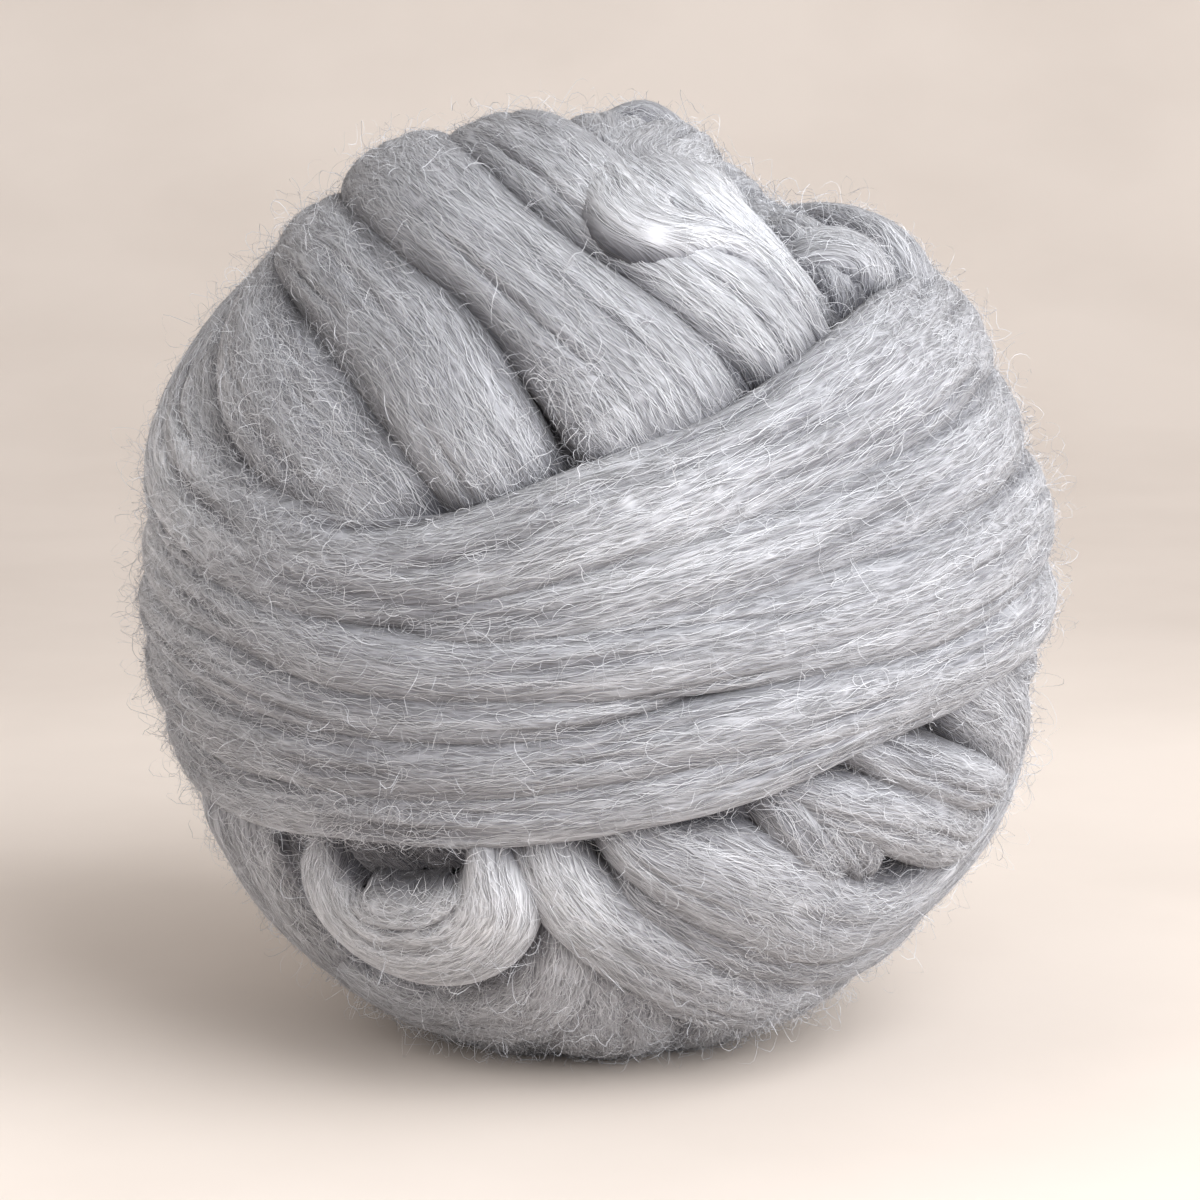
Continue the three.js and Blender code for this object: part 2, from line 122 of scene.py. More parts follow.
# Places: degrees round from the front, degrees up, metres to the crown, metres wide.
# The belt's turns cross the front, from the top edge down.
BELT_TURNS = (
    Turn("belt_top", puff=BELT_PUFF, run=(
        (-120, 57, 0.112, 0.028), (-107, 49, 0.13, 0.032), (-96, 39, 0.134, 0.036),
        (-87, 30.5, 0.1355, 0.038), (-77, 22.3, 0.1355, 0.04), (-62, 16, 0.1335, 0.039),
        (-40, 11.5, 0.131, 0.036), (-20, 12, 0.131, 0.031), (0, 18, 0.133, 0.033),
        (20, 24.5, 0.134, 0.034), (40, 31.5, 0.1345, 0.04), (62, 37, 0.134, 0.042),
        (90, 39, 0.133, 0.04), (122, 38, 0.131, 0.036), (155, 36, 0.13, 0.034), (190, 34, 0.13, 0.034),
        (222, 34, 0.1295, 0.035), (244, 36, 0.127, 0.034), (260, 38, 0.112, 0.028),
    )),
    Turn("belt_second", puff=BELT_PUFF, run=(
        (-36, 3, 0.112, 0.01), (-22, 5, 0.127, 0.016), (-2, 8.5, 0.131, 0.023),
        (20, 14.3, 0.1325, 0.028), (42, 19, 0.133, 0.03), (64, 23.5, 0.132, 0.032),
        (90, 26, 0.13, 0.032), (125, 25, 0.129, 0.032), (160, 22.5, 0.129, 0.032),
        (200, 20.5, 0.129, 0.033), (240, 20.5, 0.129, 0.034), (268, 19, 0.129, 0.032),
        (287, 14.5, 0.128, 0.028), (303, 10, 0.123, 0.022), (316, 7.5, 0.112, 0.018),
    )),
    Turn("belt_third", puff=BELT_PUFF, closed=True, run=(
        (-75, 7.5, 0.13, 0.027), (-52, 4, 0.131, 0.023), (-30, 0.8, 0.1315, 0.021),
        (-10, 0.3, 0.132, 0.021), (10, 3, 0.1325, 0.025), (30, 6, 0.133, 0.034), (50, 9, 0.1325, 0.038),
        (70, 11.5, 0.131, 0.038), (97, 13, 0.13, 0.034), (133, 12.5, 0.129, 0.03),
        (170, 10, 0.129, 0.028), (210, 8, 0.129, 0.028), (248, 8, 0.129, 0.028),
    )),
    Turn("belt_fourth", puff=BELT_PUFF, run=(
        (26, -1, 0.114, 0.01), (6, -3.6, 0.129, 0.013), (-12, -5.5, 0.1305, 0.017),
        (-32, -5.6, 0.1305, 0.019), (-54, -2.6, 0.1305, 0.021), (-77, -0.5, 0.13, 0.022),
        (-105, 0, 0.129, 0.025), (-142, 1, 0.129, 0.027), (-180, 1, 0.129, 0.027),
        (-218, 1, 0.128, 0.027), (-255, 2, 0.128, 0.026), (-280, 4, 0.122, 0.022),
        (-294, 5, 0.112, 0.018),
    )),
    Turn("belt_fifth", puff=BELT_PUFF, closed=True, run=(
        (-75, -8.5, 0.13, 0.028), (-52, -11, 0.13, 0.029), (-30, -12.3, 0.131, 0.024),
        (-10, -11, 0.1315, 0.02), (10, -7.6, 0.132, 0.022), (30, -4.6, 0.132, 0.025),
        (50, -1.9, 0.1315, 0.0245), (70, 0.4, 0.131, 0.0245), (97, -0.3, 0.1295, 0.027),
        (133, -4, 0.128, 0.03), (170, -8, 0.128, 0.03), (210, -10, 0.128, 0.03), (248, -9, 0.129, 0.03),
    )),
    Turn("belt_bottom", puff=BELT_PUFF, run=(
        (82, 1, 0.112, 0.01), (70, -1.7, 0.122, 0.013), (58, -4.3, 0.127, 0.0155),
        (46, -6.2, 0.1285, 0.0155), (36, -7.7, 0.13, 0.0155), (28, -9.6, 0.131, 0.0165),
        (10, -14.1, 0.1315, 0.0205), (-10, -17.5, 0.131, 0.021), (-31, -19.2, 0.13, 0.021),
        (-53, -20, 0.129, 0.025), (-77, -18, 0.1285, 0.029), (-105, -18, 0.128, 0.03),
        (-142, -19, 0.128, 0.03), (-180, -19, 0.128, 0.03), (-218, -17, 0.128, 0.03),
        (-246, -14, 0.128, 0.03), (-268, -11, 0.127, 0.028), (-283, -8.5, 0.122, 0.024),
        (-295, -6, 0.112, 0.018),
    )),
)

# The turns that slope down to the belt, from the left side to the right, and the crest's.
UPPER_TURNS = (
    Turn("slope_sliver", run=(
        (-93, 42, 0.112, 0.018), (-80, 33, 0.131, 0.023), (-68, 26.5, 0.131, 0.024),
        (-60, 22.5, 0.1295, 0.022), (-52, 19, 0.1265, 0.016), (-43, 14, 0.112, 0.012),
    )),
    Turn("slope_left", run=(
        (-118, 55, 0.112, 0.026), (-98, 49.5, 0.131, 0.032), (-80, 43.5, 0.134, 0.036),
        (-65, 37, 0.134, 0.038), (-53.5, 32, 0.1335, 0.043), (-44.5, 27.7, 0.132, 0.044),
        (-36.5, 23.3, 0.1295, 0.044), (-28.5, 19, 0.1275, 0.041), (-23, 14, 0.1205, 0.037),
        (-18, 8, 0.112, 0.03),
    )),
    Turn("slope_middle", run=(
        (-120, 52, 0.112, 0.026), (-100, 53.5, 0.134, 0.031), (-80, 52.5, 0.1365, 0.033),
        (-58, 50, 0.136, 0.036), (-40, 44.5, 0.134, 0.041), (-28, 38.4, 0.1325, 0.042),
        (-20.5, 31.8, 0.131, 0.041), (-14.5, 25.5, 0.1285, 0.039), (-10.5, 20, 0.123, 0.037),
        (-8, 13.5, 0.112, 0.034),
    )),
    Turn("slope_wide", run=(
        (-150, 55, 0.112, 0.03), (-124, 61, 0.132, 0.036), (-98, 65, 0.1405, 0.038),
        (-66, 64.3, 0.141, 0.038), (-34, 58, 0.139, 0.037), (-16, 51.5, 0.1355, 0.039),
        (-3.5, 44, 0.1335, 0.045), (4, 38, 0.132, 0.051), (10.5, 31, 0.1295, 0.057),
        (14.5, 24.5, 0.123, 0.055), (18, 16, 0.112, 0.048),
    )),
    Turn("crest_fold", puff=BELT_PUFF, run=(
        (-30, 80, 0.122, 0.01), (-10, 75.5, 0.131, 0.012), (-2, 70, 0.1365, 0.015),
        (3.6, 63.3, 0.139, 0.0195), (6.4, 58.4, 0.1405, 0.0245), (9.6, 55.2, 0.141, 0.0245),
        (14.8, 53.9, 0.1405, 0.0185), (20.4, 53.8, 0.139, 0.0125), (25.1, 53, 0.138, 0.0095),
        (29.3, 51.5, 0.137, 0.0095), (32.5, 48.8, 0.1355, 0.0105), (34.5, 45.4, 0.134, 0.011),
        (36.2, 42.1, 0.1315, 0.0105), (38.5, 38, 0.126, 0.01), (41, 33, 0.112, 0.01),
    )),
    Turn("crest_left", run=(
        (-172, 58, 0.112, 0.03), (-150, 70, 0.132, 0.036), (-110, 78, 0.138, 0.042),
        (-62, 77.6, 0.1395, 0.042), (-26, 73.2, 0.1395, 0.04), (-8, 67, 0.139, 0.037),
        (2, 60.5, 0.1375, 0.033), (9.5, 55.2, 0.1355, 0.031), (16.5, 50.6, 0.135, 0.033),
        (22.7, 46.2, 0.134, 0.035), (27.2, 41.8, 0.1325, 0.034), (30.5, 37.5, 0.1295, 0.033),
        (33, 33, 0.121, 0.032), (36, 27, 0.112, 0.028),
    )),
    Turn("crest_right", run=(
        (162, 60, 0.112, 0.028), (148, 71, 0.131, 0.03), (112, 80, 0.135, 0.032),
        (50, 80, 0.134, 0.042), (19, 73.5, 0.1335, 0.052), (22, 66.5, 0.134, 0.052),
        (27, 61, 0.133, 0.047), (32.8, 56.8, 0.131, 0.038), (37.8, 52, 0.129, 0.028),
        (41, 47.2, 0.127, 0.021), (43.8, 42.2, 0.122, 0.017), (46.3, 36.5, 0.112, 0.013),
    )),
    Turn("crest_tuft", run=(
        (210, 73, 0.116, 0.014), (191, 75.2, 0.131, 0.02), (171, 75.9, 0.1395, 0.024),
        (156, 75.4, 0.142, 0.024), (141, 74.5, 0.138, 0.022), (127, 73, 0.129, 0.018),
        (116, 71, 0.116, 0.014),
    )),
    Turn("crest_under", run=(
        (-176, 62, 0.112, 0.024), (-178, 72, 0.132, 0.03), (172, 82, 0.1365, 0.032),
        (16, 84, 0.134, 0.03), (11, 75, 0.13, 0.024), (14, 67, 0.112, 0.016),
    )),
    Turn("shoulder_inner", run=(
        (92, 70, 0.112, 0.014), (76, 66, 0.119, 0.016), (64, 60, 0.127, 0.019), (57.5, 54, 0.129, 0.02),
        (53.5, 48, 0.127, 0.02), (51, 42.5, 0.122, 0.019), (49.5, 37, 0.112, 0.017),
    )),
    Turn("shoulder_fold", run=(
        (50, 60, 0.112, 0.018), (54, 56.5, 0.127, 0.022), (58, 53, 0.1325, 0.025),
        (61.5, 49.5, 0.1325, 0.025), (63, 45, 0.127, 0.022), (62, 39, 0.112, 0.018),
    )),
    Turn("shoulder_back", run=(
        (134, 60, 0.112, 0.024), (112, 61, 0.121, 0.026), (95, 57.5, 0.129, 0.028),
        (83, 52, 0.134, 0.028), (77, 46.5, 0.1335, 0.028), (74, 41, 0.127, 0.026),
        (73, 34, 0.112, 0.022),
    )),
    Turn("hollow_upper", run=(
        (84, 67, 0.112, 0.02), (106, 66, 0.118, 0.03), (126, 62, 0.124, 0.034), (141, 55, 0.128, 0.036),
        (152, 47, 0.126, 0.034), (160, 39, 0.112, 0.028),
    )),
    Turn("hollow_lower", run=(
        (82, 47, 0.112, 0.024), (99, 51, 0.124, 0.03), (117, 50, 0.128, 0.033), (133, 46, 0.127, 0.032),
        (147, 40, 0.112, 0.026),
    )),
)

# The turns under the belt, from the left side to the right, and those of the foot.
LOWER_TURNS = (
    Turn("low_side", run=(
        (-60, -12, 0.112, 0.03), (-63, -23, 0.1285, 0.044), (-65, -33, 0.13, 0.04),
        (-68, -43, 0.1315, 0.038), (-70, -53, 0.1325, 0.036), (-64, -64, 0.1325, 0.034),
        (-30, -73, 0.13, 0.03), (10, -76, 0.112, 0.024),
    )),
    Turn("low_hollow", run=(
        (-8, -22, 0.112, 0.02), (-18, -23, 0.1195, 0.032), (-28, -24.5, 0.121, 0.038),
        (-38, -24, 0.1205, 0.034), (-48, -22, 0.116, 0.024), (-56, -20, 0.112, 0.018),
    )),
    Turn("low_outer", run=(
        (-2, -24, 0.112, 0.018), (-4.5, -33, 0.125, 0.022), (-5.5, -40, 0.1295, 0.026),
        (-9, -48, 0.132, 0.034), (-18, -55.5, 0.133, 0.038), (-33, -60, 0.133, 0.038),
        (-52, -59, 0.133, 0.036), (-72, -52, 0.131, 0.032), (-86, -42, 0.124, 0.028),
        (-92, -32, 0.112, 0.024),
    )),
    Turn("low_loop", run=(
        (-15.5, -13, 0.112, 0.011), (-15, -20.5, 0.1275, 0.0115), (-14.1, -24.8, 0.1335, 0.0175),
        (-13.8, -28.2, 0.1365, 0.025), (-15.8, -31.8, 0.137, 0.0315), (-20.8, -35.4, 0.137, 0.037),
        (-28.5, -37.7, 0.1355, 0.0415), (-36.4, -37.9, 0.1335, 0.0405), (-41.7, -35, 0.1315, 0.035),
        (-43, -30.6, 0.129, 0.0255), (-42, -26.4, 0.126, 0.016), (-41.2, -21, 0.121, 0.012),
        (-40.5, -13, 0.112, 0.012),
    )),
    Turn("low_sweep_first", run=(
        (-9.5, -13, 0.112, 0.016), (-8.3, -21.5, 0.127, 0.022), (-4.3, -29, 0.131, 0.027),
        (1.7, -35.5, 0.132, 0.03), (9.5, -41.5, 0.1325, 0.034), (20, -48, 0.133, 0.038),
        (36, -54, 0.133, 0.04), (58, -57, 0.132, 0.038), (82, -55, 0.13, 0.036),
        (103, -50, 0.125, 0.032), (118, -45, 0.112, 0.028),
    )),
    Turn("low_sweep_third", run=(
        (-1, -21, 0.112, 0.012), (3.5, -28, 0.126, 0.016), (10.5, -33.5, 0.128, 0.02),
        (18, -38, 0.1295, 0.024), (27, -42.5, 0.1305, 0.027), (40, -46.5, 0.1315, 0.029),
        (56, -47.5, 0.1315, 0.03), (76, -45, 0.13, 0.032), (95, -40, 0.126, 0.03),
        (110, -35, 0.112, 0.028),
    )),
    Turn("low_sweep_second", run=(
        (-3, -13, 0.112, 0.014), (3, -20.5, 0.1265, 0.02), (9.5, -24.6, 0.1305, 0.031),
        (16.5, -27.5, 0.1325, 0.039), (24.5, -31.4, 0.133, 0.039), (34, -35.9, 0.133, 0.036),
        (46, -38.8, 0.1325, 0.037), (58, -38, 0.132, 0.038), (69, -34, 0.1315, 0.038),
        (79, -27, 0.1305, 0.037), (87, -18.5, 0.128, 0.034), (94, -9, 0.122, 0.03),
        (99, -1, 0.112, 0.024),
    )),
    Turn("low_tuck_first", puff=BELT_PUFF, run=(
        (17, -9, 0.112, 0.014), (20, -13.5, 0.123, 0.016), (23.2, -17.5, 0.128, 0.017),
        (26.8, -21.6, 0.1295, 0.0165), (31, -25.2, 0.129, 0.0165), (35.5, -29, 0.127, 0.0165),
        (40, -33.5, 0.112, 0.014),
    )),
    Turn("low_tuck_second", puff=BELT_PUFF, run=(
        (25, -12, 0.112, 0.02), (29.8, -18.5, 0.127, 0.0215), (34.2, -22.6, 0.129, 0.0215),
        (38.3, -26.3, 0.1285, 0.0205), (42, -30.3, 0.1255, 0.017), (46.5, -35, 0.112, 0.012),
    )),
    Turn("low_side_patch", run=(
        (43, 1, 0.112, 0.026), (52, -4.6, 0.1265, 0.034), (62, -10.3, 0.1295, 0.037),
        (71.5, -16.7, 0.1295, 0.036), (80, -24, 0.126, 0.032), (88, -33, 0.112, 0.024),
    )),
    Turn("low_band", run=(
        (14, -11, 0.112, 0.012), (21, -14.8, 0.1245, 0.015), (30, -17.6, 0.129, 0.021),
        (39, -20.2, 0.131, 0.024), (49, -23.7, 0.1315, 0.0265), (60, -27.6, 0.131, 0.028),
        (72, -30.3, 0.1285, 0.03), (85, -31, 0.123, 0.029), (97, -31, 0.112, 0.026),
    )),
    Turn("low_band_upper", run=(
        (22, -4, 0.112, 0.01), (31, -9.2, 0.1255, 0.014), (40, -13.2, 0.13, 0.018),
        (50, -16.6, 0.1315, 0.0195), (62, -20.3, 0.131, 0.0195), (75, -24, 0.1285, 0.0185),
        (88, -26.5, 0.1235, 0.018), (100, -27, 0.112, 0.016),
    )),
    Turn("foot_middle", run=(
        (-4, -28, 0.112, 0.026), (-1, -39, 0.1265, 0.036), (1, -50, 0.1305, 0.044),
        (2, -60, 0.1325, 0.048), (4, -72, 0.133, 0.048), (30, -86, 0.132, 0.044),
        (150, -84, 0.131, 0.04), (170, -73, 0.127, 0.038), (175, -63, 0.112, 0.034),
    )),
    Turn("foot_left", run=(
        (-30, -48, 0.112, 0.034), (-32, -58, 0.128, 0.042), (-34, -68, 0.1325, 0.046),
        (-44, -79, 0.1325, 0.046), (-120, -84, 0.131, 0.04), (-160, -73, 0.126, 0.036),
        (-165, -64, 0.112, 0.03),
    )),
    Turn("foot_right", run=(
        (34, -48, 0.112, 0.034), (38, -58, 0.129, 0.042), (42, -68, 0.1325, 0.046),
        (60, -78, 0.1325, 0.044), (120, -80, 0.131, 0.04), (138, -69, 0.124, 0.036),
        (142, -60, 0.112, 0.03),
    )),
)

# Alike turns that lean the same way: behind, and in a deeper layer all round.
FANS = (
    Turn("back_slope", copies=5, first=156, pitch=26, run=(
        (-34, 82, 0.112, 0.03), (-20, 70, 0.129, 0.038), (-6, 58, 0.131, 0.044), (6, 47, 0.129, 0.044),
        (14, 38, 0.124, 0.04), (20, 29, 0.112, 0.034),
    )),
    Turn("back_foot", copies=7, first=98, pitch=28, run=(
        (-20, -10, 0.112, 0.04), (-12, -22, 0.126, 0.046), (-2, -34, 0.1295, 0.046),
        (10, -45, 0.1305, 0.046), (24, -56, 0.13, 0.042), (44, -67, 0.128, 0.036),
        (80, -76, 0.112, 0.028),
    )),
    Turn("under_slope", copies=8, first=20, pitch=45, run=(
        (-64, 80, 0.112, 0.04), (-40, 66, 0.121, 0.056), (-20, 48, 0.1215, 0.078),
        (-6, 30, 0.121, 0.084), (4, 14, 0.112, 0.08),
    )),
    Turn("under_foot", copies=8, first=20, pitch=45, run=(
        (-20, 2, 0.112, 0.08), (-8, -14, 0.121, 0.084), (6, -32, 0.1215, 0.08),
        (24, -52, 0.1215, 0.064), (54, -70, 0.121, 0.044), (90, -80, 0.112, 0.03),
    )),
)

# Where the wool is rubbed and curly: degrees round, degrees up, degrees out to where it fades, how much.
RUBBED_PLACES = (
    (-62, 12, 20, 0.9), (-45, 24, 14, 0.7), (-68, -22, 16, 0.7), (-30, -25, 10, 1.0), (0, -62, 16, 1.0),
    (-40, -64, 16, 0.9), (40, -62, 16, 0.8), (33, -27, 7, 0.8), (-5, 30, 9, 0.7), (60, 46, 10, 0.6),
    (-80, 50, 14, 0.6), (180, 30, 14, 0.5), (120, -40, 18, 0.5), (240, -40, 18, 0.5),
)

# Where the wool is painted lighter or darker, as painted light and shade with some of its own tone: degrees
# round, degrees up, degrees out, how much.
PAINTED_LIGHT_AND_TONE_PLACES = (
    (14, 57, 13, 0.75), (38, 60, 12, 0.7), (-12, -30, 10, 1.1), (-75, 16, 18, 1.0), (-42, -38, 15, 0.9),
    (-45, 38, 24, -0.2), (-40, 73, 16, -0.3), (-2, 46, 14, -0.25), (-18, -7, 24, -0.2), (5, 18, 16, 0.3),
    (-30, -19, 14, -0.25), (22, 68, 6, -0.4), (165, 76, 9, -0.5),
)


def unit(vectors: np.ndarray) -> np.ndarray:
    """Return vectors divided by their lengths."""
    return vectors / np.maximum(np.linalg.norm(vectors, axis=-1, keepdims=True), 1e-12)


def direction_to(around: np.ndarray, above: np.ndarray) -> np.ndarray:
    """Return unit directions: (sin a cos b, -cos a cos b, sin b) of the two angles in degrees.

    Args:
        around: Degrees round from the front.
        above: Degrees up from level.

    Returns:
        Directions, with one more axis of three.
    """
    a, b = np.radians(around), np.radians(above)
    return np.stack([np.sin(a) * np.cos(b), -np.cos(a) * np.cos(b), np.sin(b)], axis=-1)


def curve_through(places: np.ndarray, closed: bool, share: np.ndarray) -> np.ndarray:
    """Follow a uniform Catmull-Rom curve.

    Between b and c, with a before and d after them, the point at t is half of
    2b + (c - a) t + (2a - 5b + 4c - d) t^2 + (3b - a - 3c + d) t^3.

    Args:
        places: The rows that the curve passes through.
        closed: Whether the last row leads back to the first.
        share: Shares of the whole run, from 0 to 1.

    Returns:
        A row for each share.
    """
    if closed:
        padded = np.concatenate([places[-1:], places, places[:2]])
        spans = len(places)
    else:
        before, after = 2 * places[:1] - places[1:2], 2 * places[-1:] - places[-2:-1]
        padded = np.concatenate([before, places, after])
        spans = len(places) - 1
    span = np.clip(np.floor(share * spans).astype(int), 0, spans - 1)
    t = (share * spans - span)[:, None]
    a, b, c, d = (padded[span + k] for k in range(4))
    cubic = (3 * b - a - 3 * c + d) * t**3
    return (2 * b + (c - a) * t + (2 * a - 5 * b + 4 * c - d) * t**2 + cubic) / 2


@dataclass
class Folds:
    """The lengthwise folds of one strand: valleys that wander across it, and fade in and out.

    Attributes:
        count: How many valleys run side by side.
        deep: The deepest valley.
        narrow: The narrowest valley's half width.
        wide: The widest valley's half width.
        swing: How far a valley wanders at least and at most, as shares of the half width.
        sway_ways: Over which lengths it wanders.
        fade_ways: And over which it fades in and out.
        stays: What is added to the wave that it fades with, before what is under zero is cut off.
    """

    count: int = 7
    deep: float = 0.0017
    narrow: float = 0.0010
    wide: float = 0.0030
    swing: tuple[float, float] = (0.02, 0.14)
    sway_ways: tuple[float, float] = (0.10, 0.25)
    fade_ways: tuple[float, float] = (0.07, 0.19)
    stays: float = 0.25

    def depth(self, along: np.ndarray, across: np.ndarray, rng: np.random.Generator,
              around: float | None) -> np.ndarray:
        """Return how deep the valleys are over a grid.

        A valley's middle is a slow sine of the way along. Its depth is another slow sine, raised and
        held from 0 to 1, times a bell curve of the distance from that middle. The valleys are summed.

        Args:
            along: Metres along the strand, one for each row.
            across: Metres across it, a row for each row of the grid.
            rng: The source of the strand's own chances.
            around: The whole length of a closed turn, which its sines divide without a rest.

        Returns:
            Depths in metres, with the shape of across.
        """
        reach = across.max()
        middle = (np.arange(self.count) + rng.uniform(0.2, 0.8, self.count)) / self.count * 2 - 1
        swing = rng.uniform(*self.swing, self.count)
        deep = self.deep * rng.uniform(0.35, 1.0, self.count)
        half = rng.uniform(self.narrow, self.wide, self.count)
        waves = np.stack([rng.uniform(*ways, self.count) for ways in (self.sway_ways, self.fade_ways)])
        if around:
            waves = around / np.maximum(1, np.round(around / waves))
        phase = rng.uniform(0, math.tau, (2, self.count))
        sway, fade = np.sin(math.tau * along[:, None, None] / waves + phase).transpose(1, 0, 2)
        line = reach * (middle + swing * sway)
        there = np.clip(self.stays + fade, 0, 1) * deep
        gap = (across[:, :, None] - line[:, None, :]) / half
        return (there[:, None, :] * np.exp(-gap**2)).sum(axis=-1)


@dataclass(frozen=True)
class Streaks:
    """The lighter and darker streaks along a strand, where its fibres gather.

    Attributes:
        count: How many waves are summed.
        narrow: The narrowest wave across the strand.
        wide: The widest.
        ways: Over which lengths the waves wander and fade.
        sway: How far they wander, in their own widths.
        fade: How much of a wave comes and goes.
        usual: The strand's usual tone.
        strong: How far the streaks depart from it.
    """

    count: int = 7
    narrow: float = 0.0034
    wide: float = 0.0180
    ways: tuple[float, float] = (0.05, 0.21)
    sway: float = 0.35
    fade: float = 0.4
    usual: float = 0.33
    strong: float = 0.12

    def tone(self, along: np.ndarray, across: np.ndarray, rng: np.random.Generator,
             around: float | None) -> np.ndarray:
        """Return how light the strand is over a grid, from 0 to 1.

        Each wave is the sine of the way across over its width, moved by a slow sine of the way along. It
        fades in and out with another one. The waves are summed and squeezed into the range.

        Args:
            along: Metres along the strand, one for each row.
            across: Metres across it, a row for each row of the grid.
            rng: The source of the strand's own chances.
            around: The whole length of a closed turn.

        Returns:
            Tones, with the shape of across.
        """
        width = np.geomspace(self.narrow, self.wide, self.count) * rng.uniform(0.85, 1.15, self.count)
        waves = rng.uniform(*self.ways, (2, self.count))
        if around:
            waves = around / np.maximum(1, np.round(around / waves))
        phase = rng.uniform(0, math.tau, (3, self.count))
        sway, fade = np.sin(math.tau * along[:, None, None] / waves + phase[:2]).transpose(1, 0, 2)
        turns = across[:, :, None] / width + (self.sway * sway)[:, None, :]
        wave = np.sin(math.tau * turns + phase[2]) * (1 - self.fade + self.fade * fade)[:, None, :]
        return np.clip(self.usual + self.strong * wave.sum(axis=-1) / math.sqrt(self.count / 2), 0, 1)


@dataclass
class TurnGrid:
    """A turn's surface as a grid of rows along the strand and columns across it.

    Attributes:
        points: Places, rows by columns by three.
        combed: Where each point lies on the unrolled strand, which the wool's pattern follows.
        outward: Unit normals.
        tone: How light its streaks are, from 0 to 1, with painted light and shade by place added when it
            settles.
        sunk: How deep a point lies in a fold or at the strand's edge, from 0 to 1, which sets its painted
            shade.
        wide: The strand's width at each row.
        walls: How many columns on each side are the walls under the crown's edge.
        closed: Whether the last row leads back to the first.
    """

    points: np.ndarray
    combed: np.ndarray
    outward: np.ndarray
    tone: np.ndarray
    sunk: np.ndarray
    wide: np.ndarray
    walls: int
    closed: bool

    @property
    def rows(self) -> int:
        """Return the number of rows."""
        return len(self.points)

    @property
    def columns(self) -> int:
        """Return the number of columns."""
        return self.points.shape[1]

    def settle(self, reach: "ReachMap") -> None:
        """Take the turn's place on the ball into its tones: painted shade in the creases between turns, and
        painted light and shade by place.
        """
        self.sunk = np.clip(np.maximum(self.sunk, reach.creased(self.points)), 0, 1)
        self.tone = np.clip(self.tone + summed_bells(self.points, PAINTED_LIGHT_AND_TONE_PLACES), 0, 1.3)

    def at(self, row: np.ndarray, share: np.ndarray) -> tuple[np.ndarray, np.ndarray, np.ndarray]:
        """Read the surface between its grid points, with each value mixed from the four round it.

        Args:
            row: Rows, with fractions.
            share: Shares of the half width, from -1 to 1.

        Returns:
            The points, the unit normals and the tones there.
        """
        crown = self.columns - 2 * self.walls - 1
        column = (share + 1) / 2 * crown + self.walls
        column = np.clip(column, self.walls - 0.9, self.columns - self.walls - 0.1)
        low = np.clip(np.floor(column).astype(int), 0, self.columns - 2)
        side = (column - low)[..., None]
        if not self.closed:
            row = np.clip(row, 0, self.rows - 1.001)
        here = np.floor(row).astype(int)
        step = (row - here)[..., None]
        here, ahead = here % self.rows, (here + 1) % self.rows
        mixed = []
        for grid in (self.points, self.outward, self.tone[..., None]):
            near = grid[here, low] * (1 - side) + grid[here, low + 1] * side
            far = grid[ahead, low] * (1 - side) + grid[ahead, low + 1] * side
            mixed.append(near * (1 - step) + far * step)
        return mixed[0], unit(mixed[1]), mixed[2][..., 0]


def grid_normals(points: np.ndarray, closed: bool) -> np.ndarray:
    """Work out the normals of a grid: the way along crossed with the way across.

    Args:
        points: Places, rows by columns by three.
        closed: Whether the last row leads back to the first.

    Returns:
        Unit normals, one for each point.
    """
    if closed:
        along = np.roll(points, -1, axis=0) - np.roll(points, 1, axis=0)
    else:
        along = np.gradient(points, axis=0)
    return unit(np.cross(along, np.gradient(points, axis=1)))


